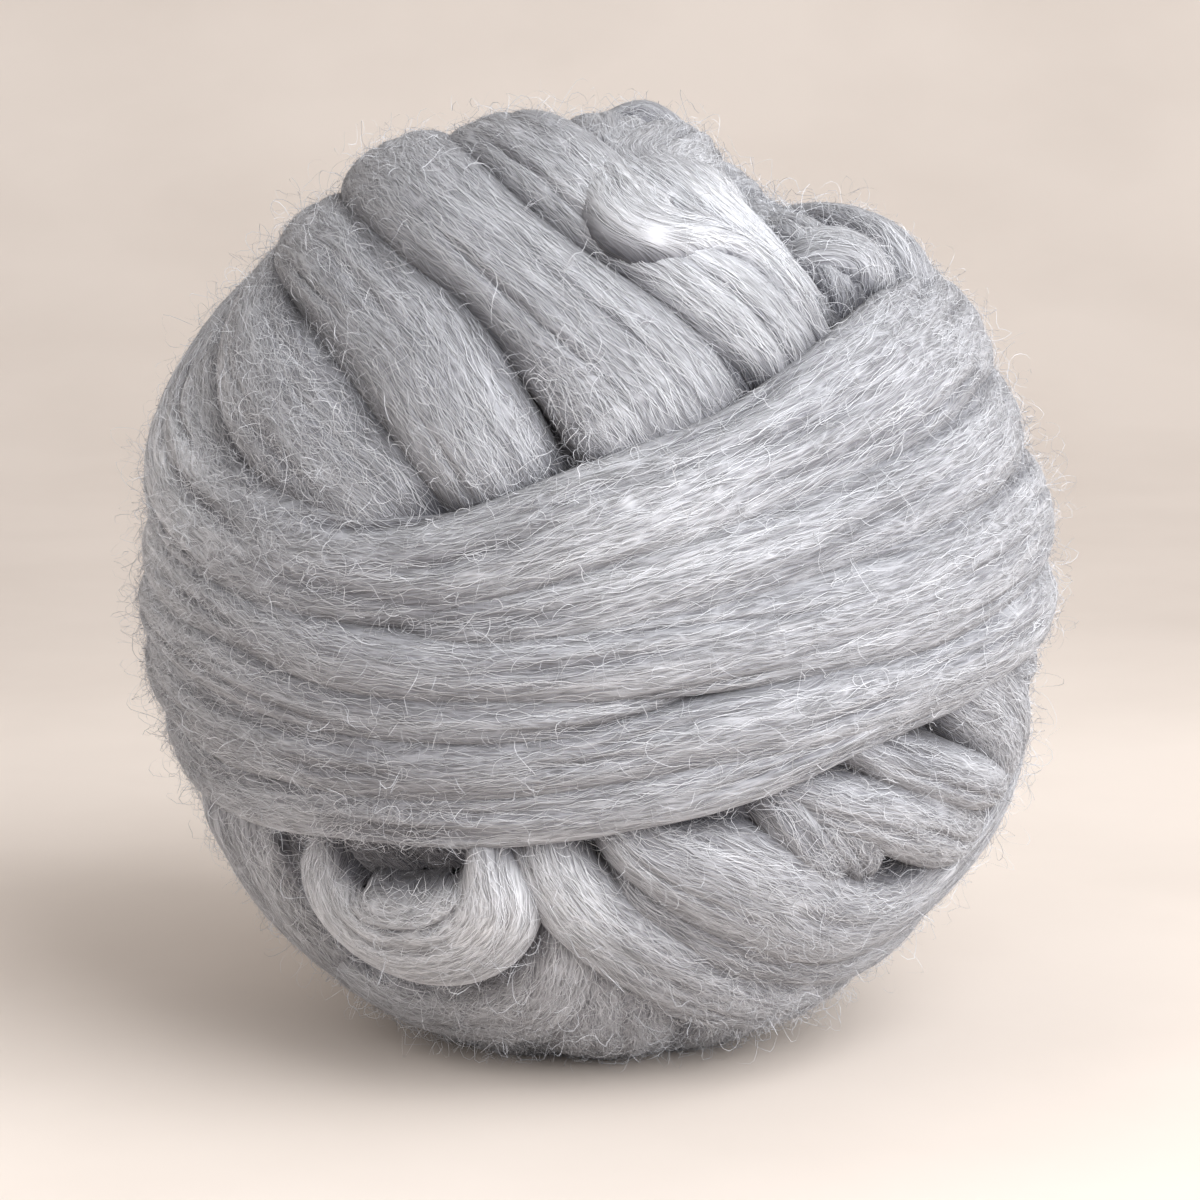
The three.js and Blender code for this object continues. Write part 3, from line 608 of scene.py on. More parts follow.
def lay_turn(turn: Turn, table: np.ndarray, folds: Folds, seed: int, step: float,
             pitch: float) -> TurnGrid:
    """Bend a strand onto the ball along a run.

    Across the strand a point leans from the run's middle by x times half the width over the ball's
    radius, x from -1 to 1. Its distance from the centre is the edge's plus the puff times the square
    root of 1 less the size of x to the crown's power, less the folds. Under both edges short walls go
    straight in.

    Args:
        turn: The turn, for its puff and whether it is closed.
        table: The run of this copy.
        folds: The strand's folds.
        seed: Which chances this strand takes.
        step: Metres between rows.
        pitch: Metres between columns.

    Returns:
        The grid.
    """
    rng = np.random.default_rng(seed)
    directions = direction_to(table[:, 0], table[:, 1])

    dense = np.linspace(0, 1, FINE_PARTS * len(table))
    crown = curve_through(table[:, 2:], turn.closed, dense)[:, :1]
    trail = unit(curve_through(directions, turn.closed, dense)) * crown
    walked = np.concatenate([[0], np.cumsum(np.linalg.norm(np.diff(trail, axis=0), axis=1))])
    length = walked[-1]
    rows = max(8, round(length / step))
    along = np.linspace(0, length, rows, endpoint=not turn.closed)
    share = np.interp(along, walked, dense)

    up = unit(curve_through(directions, turn.closed, share))
    crown, wide = curve_through(table[:, 2:], turn.closed, share).T
    if turn.closed:
        ahead = np.roll(up, -1, axis=0) - np.roll(up, 1, axis=0)
    else:
        ahead = np.gradient(up, axis=0)
    ahead = unit(ahead - (ahead * up).sum(axis=1, keepdims=True) * up)
    sideways = np.cross(up, ahead)

    columns = max(13, round(wide.max() / pitch))
    x = np.concatenate([[-1, -1], np.linspace(-1, 1, columns), [1, 1]])
    sunk = np.concatenate([WALL_DEPTHS, np.zeros(columns), WALL_DEPTHS[::-1]])
    across = x * wide[:, None] / 2
    slow = length / max(1, round(length / SWELL_WAY)) if turn.closed else SWELL_WAY
    swell = SWELL * np.sin(math.tau * along / slow + rng.uniform(0, math.tau))
    around = length if turn.closed else None
    relief = folds.depth(along, across, rng, around)
    tone = Streaks().tone(along, across, rng, around)
    # Painted shade for the folds and the strand's edges, kept as the grid's sunk share
    deep = np.clip(relief / FULLY_SHADED_FOLD + np.abs(x) ** 8, 0, 1)
    puff = turn.puff + EXTRA_PUFF
    round_up = np.sqrt(np.maximum(0, 1 - np.abs(x) ** CROWN_POWER))
    height = (crown + swell - puff)[:, None] + puff * round_up - relief - sunk
    lean = across / BALL_RADIUS
    points = up[:, None] * np.cos(lean)[..., None] + sideways[:, None] * np.sin(lean)[..., None]
    points = points * height[..., None] + CENTRE
    points[..., 2] = np.maximum(points[..., 2], 0)

    if turn.closed:
        radius, angle = length / math.tau, math.tau * along / length
        way = np.stack([radius * np.cos(angle), radius * np.sin(angle)], axis=1)
    else:
        way = np.stack([along, 0 * along], axis=1)
    way = np.broadcast_to(way[:, None], (rows, len(x), 2))
    beside = np.broadcast_to(across + np.sign(x) * sunk, (rows, len(x)))
    combed = np.concatenate([way, beside[..., None]], axis=2) + rng.uniform(0, 5, 3)
    outward = grid_normals(points, turn.closed)
    return TurnGrid(points, combed, outward, tone, deep, wide, len(WALL_DEPTHS), turn.closed)


class ReachMap:
    """How far out the wool reaches in every direction from the ball's centre.

    A direction is divided by the sum of its three sizes, which puts it on an octahedron, and the lower
    half of that is folded out round the upper half, so that all directions fill one square map.
    """

    SIDE = 480  # cells along each side of the map
    SOFT_CELLS = 9  # how far the softened map is averaged to either side
    CREASE_DEPTH = 0.0046  # a point so far under the softened map is in the depth of a crease, with the fullest painted shade

    def __init__(self, grids: list[TurnGrid]) -> None:
        """Draw every grid into the map, keeping the farthest point of each cell, and soften a copy.

        Args:
            grids: All the ball's turns.
        """
        self.reach = np.full((self.SIDE, self.SIDE), CORE_RADIUS)
        for grid in grids:
            points = grid.points
            ahead = np.concatenate([points[1:], points[:1] if grid.closed else points[-1:]])
            for part in (0, 0.25, 0.5, 0.75):
                self._draw(points * (1 - part) + ahead * part)
        padded = np.pad(self.reach, 1, mode="edge")
        around = [padded[i:i + self.SIDE, j:j + self.SIDE] for i in range(3) for j in range(3)]
        bare = self.reach <= CORE_RADIUS
        self.reach[bare] = np.max(around, axis=0)[bare]
        self.soft = self._softened(self._softened(self.reach))

    def _softened(self, heights: np.ndarray) -> np.ndarray:
        """Average a map over a square round each cell.

        Past an edge the octahedron goes on at that same edge, read from its other end.

        Args:
            heights: The map.

        Returns:
            Its softened copy.
        """
        for _ in range(2):
            wide = np.concatenate([heights[:self.SOFT_CELLS][::-1, ::-1], heights,
                                   heights[-self.SOFT_CELLS:][::-1, ::-1]])
            spans = range(2 * self.SOFT_CELLS + 1)
            heights = np.mean([wide[start:start + self.SIDE] for start in spans], axis=0).T
        return heights

    def _draw(self, points: np.ndarray) -> None:
        """Raise the cells of points to their distances from the ball's centre."""
        offset = points.reshape(-1, 3) - CENTRE
        np.maximum.at(self.reach, self._cells(offset), np.linalg.norm(offset, axis=1))

    def _cells(self, offset: np.ndarray) -> tuple[np.ndarray, np.ndarray]:
        """Find the map's cells that offsets from the centre point to.

        Args:
            offset: Ways out from the ball's centre, of any length.

        Returns:
            The row and the column of each.
        """
        flat = offset / np.abs(offset).sum(axis=-1, keepdims=True)
        turned = (1 - np.abs(flat[..., [1, 0]])) * np.where(flat[..., :2] < 0, -1, 1)
        square = np.where(flat[..., 2:] < 0, turned, flat[..., :2])
        cell = np.clip(((square + 1) / 2 * self.SIDE).astype(int), 0, self.SIDE - 1)
        return cell[..., 0], cell[..., 1]

    def height(self, points: np.ndarray) -> np.ndarray:
        """Return how far points stand above the wool, in metres, less than zero when under it."""
        offset = points - CENTRE
        return np.linalg.norm(offset, axis=-1) - self.reach[self._cells(offset)]

    def creased(self, points: np.ndarray) -> np.ndarray:
        """Work out how deep points lie in a crease, for the painted shade there: their depth under the
        softened map.

        Args:
            points: Places on or near the wool.

        Returns:
            Shares, from 0 on the open surface to 1 in the depth of a crease.
        """
        offset = points - CENTRE
        below = self.soft[self._cells(offset)] - np.linalg.norm(offset, axis=-1)
        return np.clip(below / self.CREASE_DEPTH, 0, 1)


@dataclass
class Skein:
    """Vertices, faces and layout gathered for one mesh.

    Attributes:
        points: Arrays of vertices.
        faces: Arrays of faces, by vertex.
        layout: Arrays of the place of each face corner on the flat layout.
        values: Arrays of each vertex's own values, by name.
        size: How many vertices there are so far.
    """

    points: list[np.ndarray] = field(default_factory=list)
    faces: list[np.ndarray] = field(default_factory=list)
    layout: list[np.ndarray] = field(default_factory=list)
    values: dict[str, list[np.ndarray]] = field(default_factory=dict)
    size: int = 0

    def add(self, points: np.ndarray, faces: np.ndarray, layout: np.ndarray,
            **values: np.ndarray) -> None:
        """Add a shape whose faces count its own vertices from zero.

        Args:
            points: Its vertices.
            faces: Its faces, by vertex.
            layout: Where each face corner lies on the flat layout.
            values: Each vertex's own values, by name.
        """
        self.points.append(points)
        self.faces.append(faces + self.size)
        self.layout.append(layout)
        for name, value in values.items():
            self.values.setdefault(name, []).append(value)
        self.size += len(points)

    def piece(self, name: str) -> bpy.types.Object:
        """Make one smooth mesh object of everything gathered.

        Args:
            name: The object's name.

        Returns:
            The object, linked into the scene.
        """
        points, faces = np.concatenate(self.points), np.concatenate(self.faces)
        corners = faces.shape[1]
        mesh = bpy.data.meshes.new(name)
        mesh.vertices.add(len(points))
        mesh.vertices.foreach_set("co", points.astype(np.float32).ravel())
        mesh.loops.add(faces.size)
        mesh.loops.foreach_set("vertex_index", faces.astype(np.int32).ravel())
        mesh.polygons.add(len(faces))
        mesh.polygons.foreach_set("loop_start", np.arange(0, faces.size, corners, dtype=np.int32))
        mesh.update(calc_edges=True)
        flat = mesh.uv_layers.new(name="OFBake")
        flat.uv.foreach_set("vector", np.concatenate(self.layout).astype(np.float32).ravel())
        for key, arrays in self.values.items():
            value = np.concatenate(arrays).astype(np.float32)
            kind, slot = ("FLOAT_VECTOR", "vector") if value.ndim == 2 else ("FLOAT", "value")
            mesh.attributes.new(key, kind, "POINT").data.foreach_set(slot, value.ravel())
        mesh.shade_smooth()
        piece = bpy.data.objects.new(name, mesh)
        bpy.context.scene.collection.objects.link(piece)
        LOG.info("%s: %d vertices, %d faces", name, len(points), len(faces))
        return piece


class WoolPiece:
    """Anything on the ball that is made of its wool."""

    def dress(self, piece: bpy.types.Object, finish: "WoolFinish | FibreFinish") -> None:
        """Give a mesh its finish, and say that it moves with the ball and stands for its solid.

        Args:
            piece: The mesh object.
            finish: What its wool looks like.
        """
        piece.data.materials.append(finish.material())
        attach(piece, "root")
        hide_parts("wool_ball")


@dataclass
class WoundLayer(WoolPiece):
    """The turns of one part of the ball, laid as grids and joined to one mesh.

    Attributes:
        name: The mesh's name.
        turns: Its turns.
        folds: The folds of its strands.
        seed: Where its chances start.
        spacing: How much wider its grids are than usual.
        buried: How deep under the wool a face is left out.
    """

    name: str
    turns: tuple[Turn, ...]
    folds: Folds
    seed: int
    spacing: float = 1.0
    buried: float = 0.0035

    def lay(self) -> list[TurnGrid]:
        """Lay each turn, and each copy of one that is a fan.

        Returns:
            A grid for each.
        """
        step, pitch = STRAND_STEP * self.spacing, STRAND_PITCH * self.spacing
        runs = [(turn, table) for turn in self.turns for table in turn.runs()]
        LOG.info("%s winds %s", self.name, ", ".join(turn.name for turn in self.turns))
        return [
            lay_turn(turn, table, self.folds, self.seed + number, step, pitch)
            for number, (turn, table) in enumerate(runs)
        ]

    def build(self, grids: list[TurnGrid], reach: ReachMap) -> bpy.types.Object:
        """Join the grids to one mesh without the faces that are deep under other turns.

        On the flat layout every turn is cut into strips of one length, which lie under each other.

        Args:
            grids: The layer's grids.
            reach: The map of the outermost wool.

        Returns:
            The mesh object.
        """
        total = sum(grid.rows for grid in grids)
        breadth = np.mean([grid.columns for grid in grids]) * STRAND_PITCH / STRAND_STEP
        strip_rows = math.ceil(math.sqrt(total * breadth))
        strips = [math.ceil(grid.rows / strip_rows) for grid in grids]
        skein, used = Skein(), 0
        for grid, count in zip(grids, strips):
            last = grid.rows if grid.closed else grid.rows - 1
            row, column = np.meshgrid(np.arange(last), np.arange(grid.columns - 1), indexing="ij")
            near, far = row.ravel(), ((row + 1) % grid.rows).ravel()
            left = column.ravel()
            corner_row = np.stack([near, far, far, near], axis=1)
            corner_column = np.stack([left, left, left + 1, left + 1], axis=1)
            faces = corner_row * grid.columns + corner_column
            strip, place = np.divmod(near, strip_rows)
            u = (place[:, None] + [0, 1, 1, 0]) / strip_rows
            v = (used + strip[:, None] + 0.95 * corner_column / (grid.columns - 1)) / sum(strips)
            height = reach.height(grid.points).ravel()
            shown = height[faces].max(axis=1) > -self.buried
            layout = np.stack([u, v], axis=2)[shown].reshape(-1, 2)
            # sunk carries the painted shade of folds, edges and creases to the material
            skein.add(grid.points.reshape(-1, 3), faces[shown], layout, combed=grid.combed.reshape(-1, 3),
                      fuzz=fuzz_at(grid.points).ravel(), tone=grid.tone.ravel(), sunk=grid.sunk.ravel())
            used += count
        return skein.piece(self.name)


@dataclass
class WoundCore(WoolPiece):
    """The wound mass under the turns: a plain ball that closes every gap.

    Attributes:
        name: The mesh's name.
        rings: How many rows of faces lie over each other.
        spokes: How many faces a ring has.
        tone: How light its wool is, and how much painted shade covers it.
        rubbed: And how rubbed.
    """

    name: str = "wound_core"
    rings: int = 40
    spokes: int = 80
    tone: float = 0.4
    rubbed: float = 0.8

    def build(self) -> bpy.types.Object:
        """Make the core: a sphere by its two angles, whose rings meet in one point at each pole.

        Returns:
            The mesh object.
        """
        above = np.linspace(-90, 90, self.rings + 1)[1:-1]
        around = np.arange(self.spokes) * 360 / self.spokes
        ring = direction_to(*np.meshgrid(around, above)).reshape(-1, 3)
        points = np.concatenate([ring, [[0, 0, -1], [0, 0, 1]]]) * CORE_RADIUS + CENTRE
        points[:, 2] = np.maximum(points[:, 2], 0.0005)
        low, spoke = np.meshgrid(np.arange(self.rings - 2), np.arange(self.spokes), indexing="ij")
        low, spoke, beside = low.ravel(), spoke.ravel(), ((spoke + 1) % self.spokes).ravel()
        here, over = low * self.spokes, (low + 1) * self.spokes
        lower = np.stack([here + spoke, here + beside, over + beside], axis=1)
        upper = np.stack([here + spoke, over + beside, over + spoke], axis=1)
        spoke = np.arange(self.spokes)
        beside, top = (spoke + 1) % self.spokes, (self.rings - 2) * self.spokes
        south, north = np.full(self.spokes, len(ring)), np.full(self.spokes, len(ring) + 1)
        low_cap = np.stack([south, beside, spoke], axis=1)
        high_cap = np.stack([north, top + spoke, top + beside], axis=1)
        faces = np.concatenate([lower, upper, low_cap, high_cap])
        u = (points[:, 0] / CORE_RADIUS + 1) / 4 + np.where(points[:, 2] > CENTRE_HEIGHT, 0, 0.5)
        layout = np.stack([u, (points[:, 1] / CORE_RADIUS + 1) / 2], axis=1)[faces].reshape(-1, 2)
        skein = Skein()
        tone, rubbed = np.full(len(points), self.tone), np.full(len(points), self.rubbed)
        # The core's tone also serves as its sunk share: painted shade all over it
        skein.add(points, faces, layout, combed=points, fuzz=rubbed, tone=tone, sunk=tone)
        return skein.piece(self.name)


def summed_bells(points: np.ndarray, table: tuple[Place, ...]) -> np.ndarray:
    """Add up a bell curve round each place of a table.

    A place gives the degrees round and up of its middle, the degrees out to where it fades, and its
    height. The bell is the height times e to the minus square of the angle over those degrees.

    Args:
        points: Places on or near the ball.
        table: The places of the bells.

    Returns:
        A sum for each point.
    """
    ways = unit(points - CENTRE)
    places = np.array(table, float)
    middles = direction_to(places[:, 0], places[:, 1])
    angle = np.degrees(np.arccos(np.clip(ways @ middles.T, -1, 1)))
    return (places[:, 3] * np.exp(-((angle / places[:, 2]) ** 2))).sum(axis=-1)


def fuzz_at(points: np.ndarray) -> np.ndarray:
    """Return how rubbed the wool is, from 0 to 1."""
    return np.clip(summed_bells(points, RUBBED_PLACES), 0, 1)


class Facing(Enum):
    """How a fibre, which is a flat band, is turned: face out, or each one its own way."""

    FACE_OUT = "face out"
    ANY_WAY = "any way"


def fibre_mesh(paths: np.ndarray, outward: np.ndarray,
               thick: np.ndarray) -> tuple[np.ndarray, np.ndarray, np.ndarray]:
    """Carry a flat band along many paths at once.

    A band's two edges lie half its thickness to either side, square to the path and to the way that it
    faces. It grows thin towards its ends, by the square root of the sine of the way along.

    Args:
        paths: Fibres by places by three.
        outward: The way that the band faces at each place.
        thick: Each fibre's thickness.

    Returns:
        Vertices, faces of vertices, and each face corner's place on the flat layout.
    """
    fibres, places = paths.shape[:2]
    ahead = unit(np.gradient(paths, axis=1))
    side = unit(np.cross(outward, ahead))
    share = np.linspace(0, 1, places)
    slim = np.sqrt(np.sin(math.pi * np.clip(share, FIBRE_TIP, 1 - FIBRE_TIP)))
    half = (thick[:, None] * slim / 2)[..., None]
    edges = np.stack([paths - side * half, paths + side * half], axis=2)
    here = np.arange(places - 1) * 2
    one = np.stack([here, here + 2, here + 3, here + 1], axis=1)
    faces = one[None] + (np.arange(fibres) * places * 2)[:, None, None]
    cells = math.ceil(math.sqrt(fibres))
    cell_row, cell_column = np.divmod(np.arange(fibres), cells)
    along = np.arange(places - 1)[:, None] + [0, 1, 1, 0]
    room = 1 - 2 * CELL_MARGIN
    flat_u = (cell_column[:, None, None] + CELL_MARGIN + room * along / (places - 1)) / cells
    flat_v = (cell_row[:, None, None] + CELL_MARGIN + room * np.array([[0, 0, 1, 1]])) / cells
    layout = np.stack(np.broadcast_arrays(flat_u, flat_v), axis=-1).reshape(-1, 2)
    return edges.reshape(-1, 3), faces.reshape(-1, 4), layout


@dataclass
class CombedFibres(WoolPiece):
    """Single fibres that lie along the strands, as the comb left them.

    Attributes:
        name: The mesh's name.
        seed: Where its chances start.
        density: Fibres for each square metre of strand.
        places: How many places each fibre has.
        step: Metres between two places.
        thick: The thinnest and the thickest fibre.
        slant: How far off the strand's way most of them lie, as a slope.
        sway: The least and the most that they wander across the strand.
        sway_way: Over which lengths they do.
        crimp: The least and the most of their own small waves.
        crimp_way: And the lengths of those.
        lift: How far above their strand they arch at most, and more where it is rubbed.
        clear: How far above it they lie at least.
        buried: How deep under the wool a place of a fibre still counts as showing.
        showing: A fibre is kept when more than this share of its places shows.
        above_floor: How far above the floor they are held.
        dimmest: How light the darkest ones are.
        by_tone: How much lighter the strand's tone makes them, with its painted light and shade by place.
        by_chance: And chance.
        crease_shade: How much painted shade darkens them in the depth of a crease.
    """

    name: str
    seed: int
    density: float
    places: int = 12
    step: float = 0.0016
    thick: tuple[float, float] = (0.0001, 0.0002)
    slant: float = 0.09
    sway: tuple[float, float] = (0.0002, 0.0008)
    sway_way: tuple[float, float] = (0.012, 0.024)
    crimp: tuple[float, float] = (0.00006, 0.00022)
    crimp_way: tuple[float, float] = (0.0045, 0.0070)
    lift: float = 0.0005
    clear: float = 0.00012
    buried: float = 0.0008
    showing: float = 0.55
    above_floor: float = 0.0002
    dimmest: float = 0.35
    by_tone: float = 0.50
    by_chance: float = 0.34
    crease_shade: float = 0.75

    def _on_grid(self, grid: TurnGrid, reach: ReachMap,
                 rng: np.random.Generator) -> tuple[np.ndarray, np.ndarray, np.ndarray]:
        """Lay fibres on one turn and keep those that show.

        A fibre's share of the half width is its start plus its slope times the way along, plus two sines
        of it: a slow sway and the wool's own crimp.

        Args:
            grid: The turn's grid.
            reach: The map of the outermost wool.
            rng: The source of chances.

        Returns:
            The paths, the ways out and the tones under them.
        """
        length = grid.rows * STRAND_STEP
        count = round(self.density * length * grid.wide.mean())
        along = np.arange(self.places) * self.step
        start = rng.uniform(-0.2 * along[-1], length - 0.8 * along[-1], count)[:, None]
        middle = (start + along.mean()) / length * grid.rows
        rubbed = fuzz_at(grid.at(middle, np.zeros((count, 1)))[0])
        slope = rng.normal(0, 1, (count, 1)) * self.slant * (1 + 3.5 * rubbed)
        sway = rng.uniform(*self.sway, (count, 1)) * (1 + rubbed)
        crimp = rng.uniform(*self.crimp, (count, 1)) * (1 + 2 * rubbed)
        sway_way = rng.uniform(*self.sway_way, (count, 1))
        crimp_way = rng.uniform(*self.crimp_way, (count, 1))
        phase = rng.uniform(0, math.tau, (2, count, 1))
        aside = slope * (along - along.mean()) + sway * np.sin(math.tau * along / sway_way + phase[0])
        aside = aside + crimp * np.sin(math.tau * along / crimp_way + phase[1])
        row = (start + along) / length * grid.rows
        wide = np.interp(row.mean(axis=1), np.arange(grid.rows), grid.wide)[:, None]
        share = rng.uniform(-0.98, 0.98, (count, 1)) + aside / (wide / 2)
        points, outward, tone = grid.at(row, share)
        arch = np.sin(math.pi * along / along[-1] * rng.uniform(0.5, 1.5, (count, 1))) ** 2
        lift = rng.uniform(0.05, 1, (count, 1)) ** 2 * self.lift * (1 + rubbed) * arch + self.clear
        points = points + outward * lift[..., None]
        shown = (reach.height(points) > -self.buried).mean(axis=1) > self.showing
        return points[shown], outward[shown], tone[shown]

    def build(self, grids: list[TurnGrid], reach: ReachMap) -> bpy.types.Object:
        """Lay the fibres of a layer and join them to one mesh.

        Args:
            grids: The layer's grids.
            reach: The map of the outermost wool.

        Returns:
            The mesh object.
        """
        rng = np.random.default_rng(self.seed)
        laid = [self._on_grid(grid, reach, rng) for grid in grids]
        paths, outward, tone = (np.concatenate(part) for part in zip(*laid))
        paths[..., 2] = np.maximum(paths[..., 2], self.above_floor)
        thick = rng.uniform(*self.thick, len(paths))
        vertices, faces, layout = fibre_mesh(paths, outward, thick)
        # The fibres take the strand's tone, painted light and shade included, and painted shade in creases
        shade = self.dimmest + self.by_tone * tone + self.by_chance * rng.uniform(0, 1, (len(paths), 1))
        shade = shade * (1 - self.crease_shade * reach.creased(paths))
        skein = Skein()
        skein.add(vertices, faces, layout, shade=np.repeat(shade.ravel(), 2))
        LOG.info("%s: %d fibres", self.name, len(paths))
        return skein.piece(self.name)


@dataclass
class LooseFibres(WoolPiece):
    """Fibres that have worked loose: curls in the creases, or long ones that stand off the ball.

    Attributes:
        name: The mesh's name.
        seed: Where its chances start.
        count: How many fibres.
        places: How many places each fibre has.
        step: Metres between two places.
        thick: The thinnest and the thickest fibre.
        curl: The loosest and the tightest bend, as radians for each metre.
        arch: The lowest and the highest arch over the wool.
        facing: How its bands are turned.
        creased: How much likelier a fibre starts in a crease or a rubbed place than on a crown.
        rubbed: How much more a rubbed place counts there than a crease.
        crease_depth: How far under a usual crown a place counts as a full crease.
        chances: How many places there are to choose from for each fibre.
        arches: How many arches a fibre has at least and at most.
        few_high: How rare high arches are, as a power.
        tilt: How far a fibre's axis leans away from straight out.
        drift: And how far it drifts at each step.
        keeps: How much of its heading a fibre keeps at each step, while the rest turns level.
        pull: How strongly it leans towards the height that its arch has.
        shade: How light the darkest and the lightest ones are.
        crease_shade: How much painted shade darkens them in the depth of a crease.
        above_floor: How far above the floor they are held.
    """

    name: str
    seed: int
    count: int
    places: int
    step: float
    thick: tuple[float, float]
    curl: tuple[float, float]
    arch: tuple[float, float]
    facing: Facing
    creased: float = 0.0
    rubbed: float = 2.5
    crease_depth: float = 0.006
    chances: int = 8
    arches: tuple[float, float] = (0.8, 2.2)
    few_high: float = 2.4
    tilt: float = 0.6
    drift: float = 0.35
    keeps: float = 0.55
    pull: float = 0.45
    shade: tuple[float, float] = (0.4, 0.9)
    crease_shade: float = 0.72
    above_floor: float = 0.0004

    def _starts(self, reach: ReachMap, rng: np.random.Generator) -> np.ndarray:
        """Choose where fibres start: even over the ball, thinned out where they are less likely.

        Args:
            reach: The map of the outermost wool.
            rng: The source of chances.

        Returns:
            A place on the wool for each fibre.
        """
        ways = unit(rng.normal(size=(self.count * self.chances, 3)))
        points = ways * BALL_RADIUS + CENTRE
        reached = BALL_RADIUS - reach.height(points)
        points = ways * reached[:, None] + CENTRE
        deep = np.clip((HIGH_CROWN - reached) / self.crease_depth, 0, 1)
        weight = 1 + self.creased * (deep + self.rubbed * fuzz_at(points))
        kept = rng.choice(len(points), self.count, replace=False, p=weight / weight.sum())
        return points[np.sort(kept)]

    def _grow(self, start: np.ndarray, reach: ReachMap, rng: np.random.Generator) -> np.ndarray:
        """Grow all fibres at once, step by step.

        At each step the heading turns about the fibre's own axis by its bend, the axis drifts, and the
        heading leans towards the height that the fibre's arch has there: its top times the sine of the
        way along.

        Args:
            start: Where the fibres start.
            reach: The map of the outermost wool.
            rng: The source of chances.

        Returns:
            The paths, fibres by places by three.
        """
        size = len(start)
        out = unit(start - CENTRE)
        heading = unit(np.cross(out, rng.normal(size=(size, 3))))
        axis = unit(out * rng.choice([-1, 1], (size, 1)) + self.tilt * rng.normal(size=(size, 3)))
        bend = rng.uniform(*self.curl, (size, 1)) * self.step
        lowest, highest = self.arch
        top = lowest + (highest - lowest) * rng.uniform(0, 1, size) ** self.few_high
        arches = rng.uniform(*self.arches, size)
        place, path = start, [start]
        for number in range(1, self.places):
            out = unit(place - CENTRE)
            axis = unit(axis + self.drift * rng.normal(size=(size, 3)))
            heading = heading * np.cos(bend) + np.cross(axis, heading) * np.sin(bend)
            wanted = top * np.abs(np.sin(math.pi * arches * number / self.places))
            short = np.clip((wanted - reach.height(place)) / self.step, -1.5, 1.5)[:, None]
            level = heading - (heading * out).sum(axis=1, keepdims=True) * out
            heading = unit(self.keeps * heading + (1 - self.keeps) * level + self.pull * short * out)
            place = place + heading * self.step
            path.append(place)
        return np.stack(path, axis=1)

    def build(self, reach: ReachMap) -> bpy.types.Object:
        """Grow the fibres and join them to one mesh.

        Args:
            reach: The map of the outermost wool.

        Returns:
            The mesh object.
        """
        rng = np.random.default_rng(self.seed)
        paths = self._grow(self._starts(reach, rng), reach, rng)
        low, high = (np.array(corner) for corner in CAD_BOX)
        paths = np.clip(paths, low - STANDS_PROUD, high + STANDS_PROUD)
        paths[..., 2] = np.maximum(paths[..., 2], self.above_floor)
        outward = unit(paths - CENTRE)
        if self.facing is Facing.ANY_WAY:
            outward = unit(rng.normal(size=(len(paths), 1, 3)) + 0 * outward)
        thick = rng.uniform(*self.thick, len(paths))
        vertices, faces, layout = fibre_mesh(paths, outward, thick)
        skein = Skein()
        shade = rng.uniform(*self.shade, (len(paths), 1))
        # Painted shade in the depth of a crease
        shade = shade * (1 - self.crease_shade * reach.creased(paths))
        skein.add(vertices, faces, layout, shade=np.repeat(shade.ravel(), 2))
        return skein.piece(self.name)


class Bench:
    """Places shader nodes in a tree and links them, so that an effect reads as a short list of steps."""

    def __init__(self, tree: bpy.types.NodeTree) -> None:
        """Start on an empty tree."""
        self.tree = tree
        tree.nodes.clear()

    def node(self, kind: str, inputs: dict | None = None, **settings: object) -> bpy.types.Node:
        """Place a node, set its options, and link or set its inputs.

        Args:
            kind: The node's type name without "ShaderNode".
            inputs: Sockets to link or values to set, by the input's name or number.
            settings: The node's own options.

        Returns:
            The node.
        """
        placed = self.tree.nodes.new("ShaderNode" + kind)
        for name, value in settings.items():
            setattr(placed, name, value)
        for name, value in (inputs or {}).items():
            if isinstance(value, bpy.types.NodeSocket):
                self.tree.links.new(value, placed.inputs[name])
            else:
                placed.inputs[name].default_value = value
        return placed

    def math(self, operation: str, *values: object, clamp: bool = False) -> bpy.types.NodeSocket:
        """Return the result of a Math node."""
        return self.node("Math", dict(enumerate(values)), operation=operation, use_clamp=clamp).outputs[0]

    def stretch(self, vector: bpy.types.NodeSocket,
                factors: tuple[float, float, float]) -> bpy.types.NodeSocket:
        """Return a vector times a factor for each of its sizes."""
        return self.node("VectorMath", {0: vector, 1: factors}, operation="MULTIPLY").outputs[0]

    def shift(self, vector: bpy.types.NodeSocket,
              offset: tuple[float, float, float]) -> bpy.types.NodeSocket:
        """Return a vector moved by an offset."""
        return self.node("VectorMath", {0: vector, 1: offset}, operation="ADD").outputs[0]

    def noise(self, vector: bpy.types.NodeSocket, detail: float = 0.0) -> bpy.types.NodeSocket:
        """Return smooth noise of a vector, with a grain of one unit."""
        return self.node("TexNoise", {"Vector": vector, "Scale": 1.0, "Detail": detail}).outputs[0]

    def remap(self, value: bpy.types.NodeSocket, start: float, end: float, low: float = 0.0,
              high: float = 1.0) -> bpy.types.NodeSocket:
        """Return a value moved from one range to another, and held inside it."""
        inputs = {"Value": value, "From Min": start, "From Max": end, "To Min": low, "To Max": high}
        return self.node("MapRange", inputs).outputs[0]

    def blend(self, factor: object, first: object, second: object,
              how: str = "MIX") -> bpy.types.NodeSocket:
        """Return a mix of two colours."""
        mixed = self.node("Mix", {0: factor, 6: first, 7: second}, data_type="RGBA", blend_type=how)
        return mixed.outputs[2]


def socket(tree: bpy.types.NodeTree, name: str, kind: str, way: str = "INPUT") -> None:
    """Add an input or an output to a node group."""
    tree.interface.new_socket(name, in_out=way, socket_type="NodeSocket" + kind)


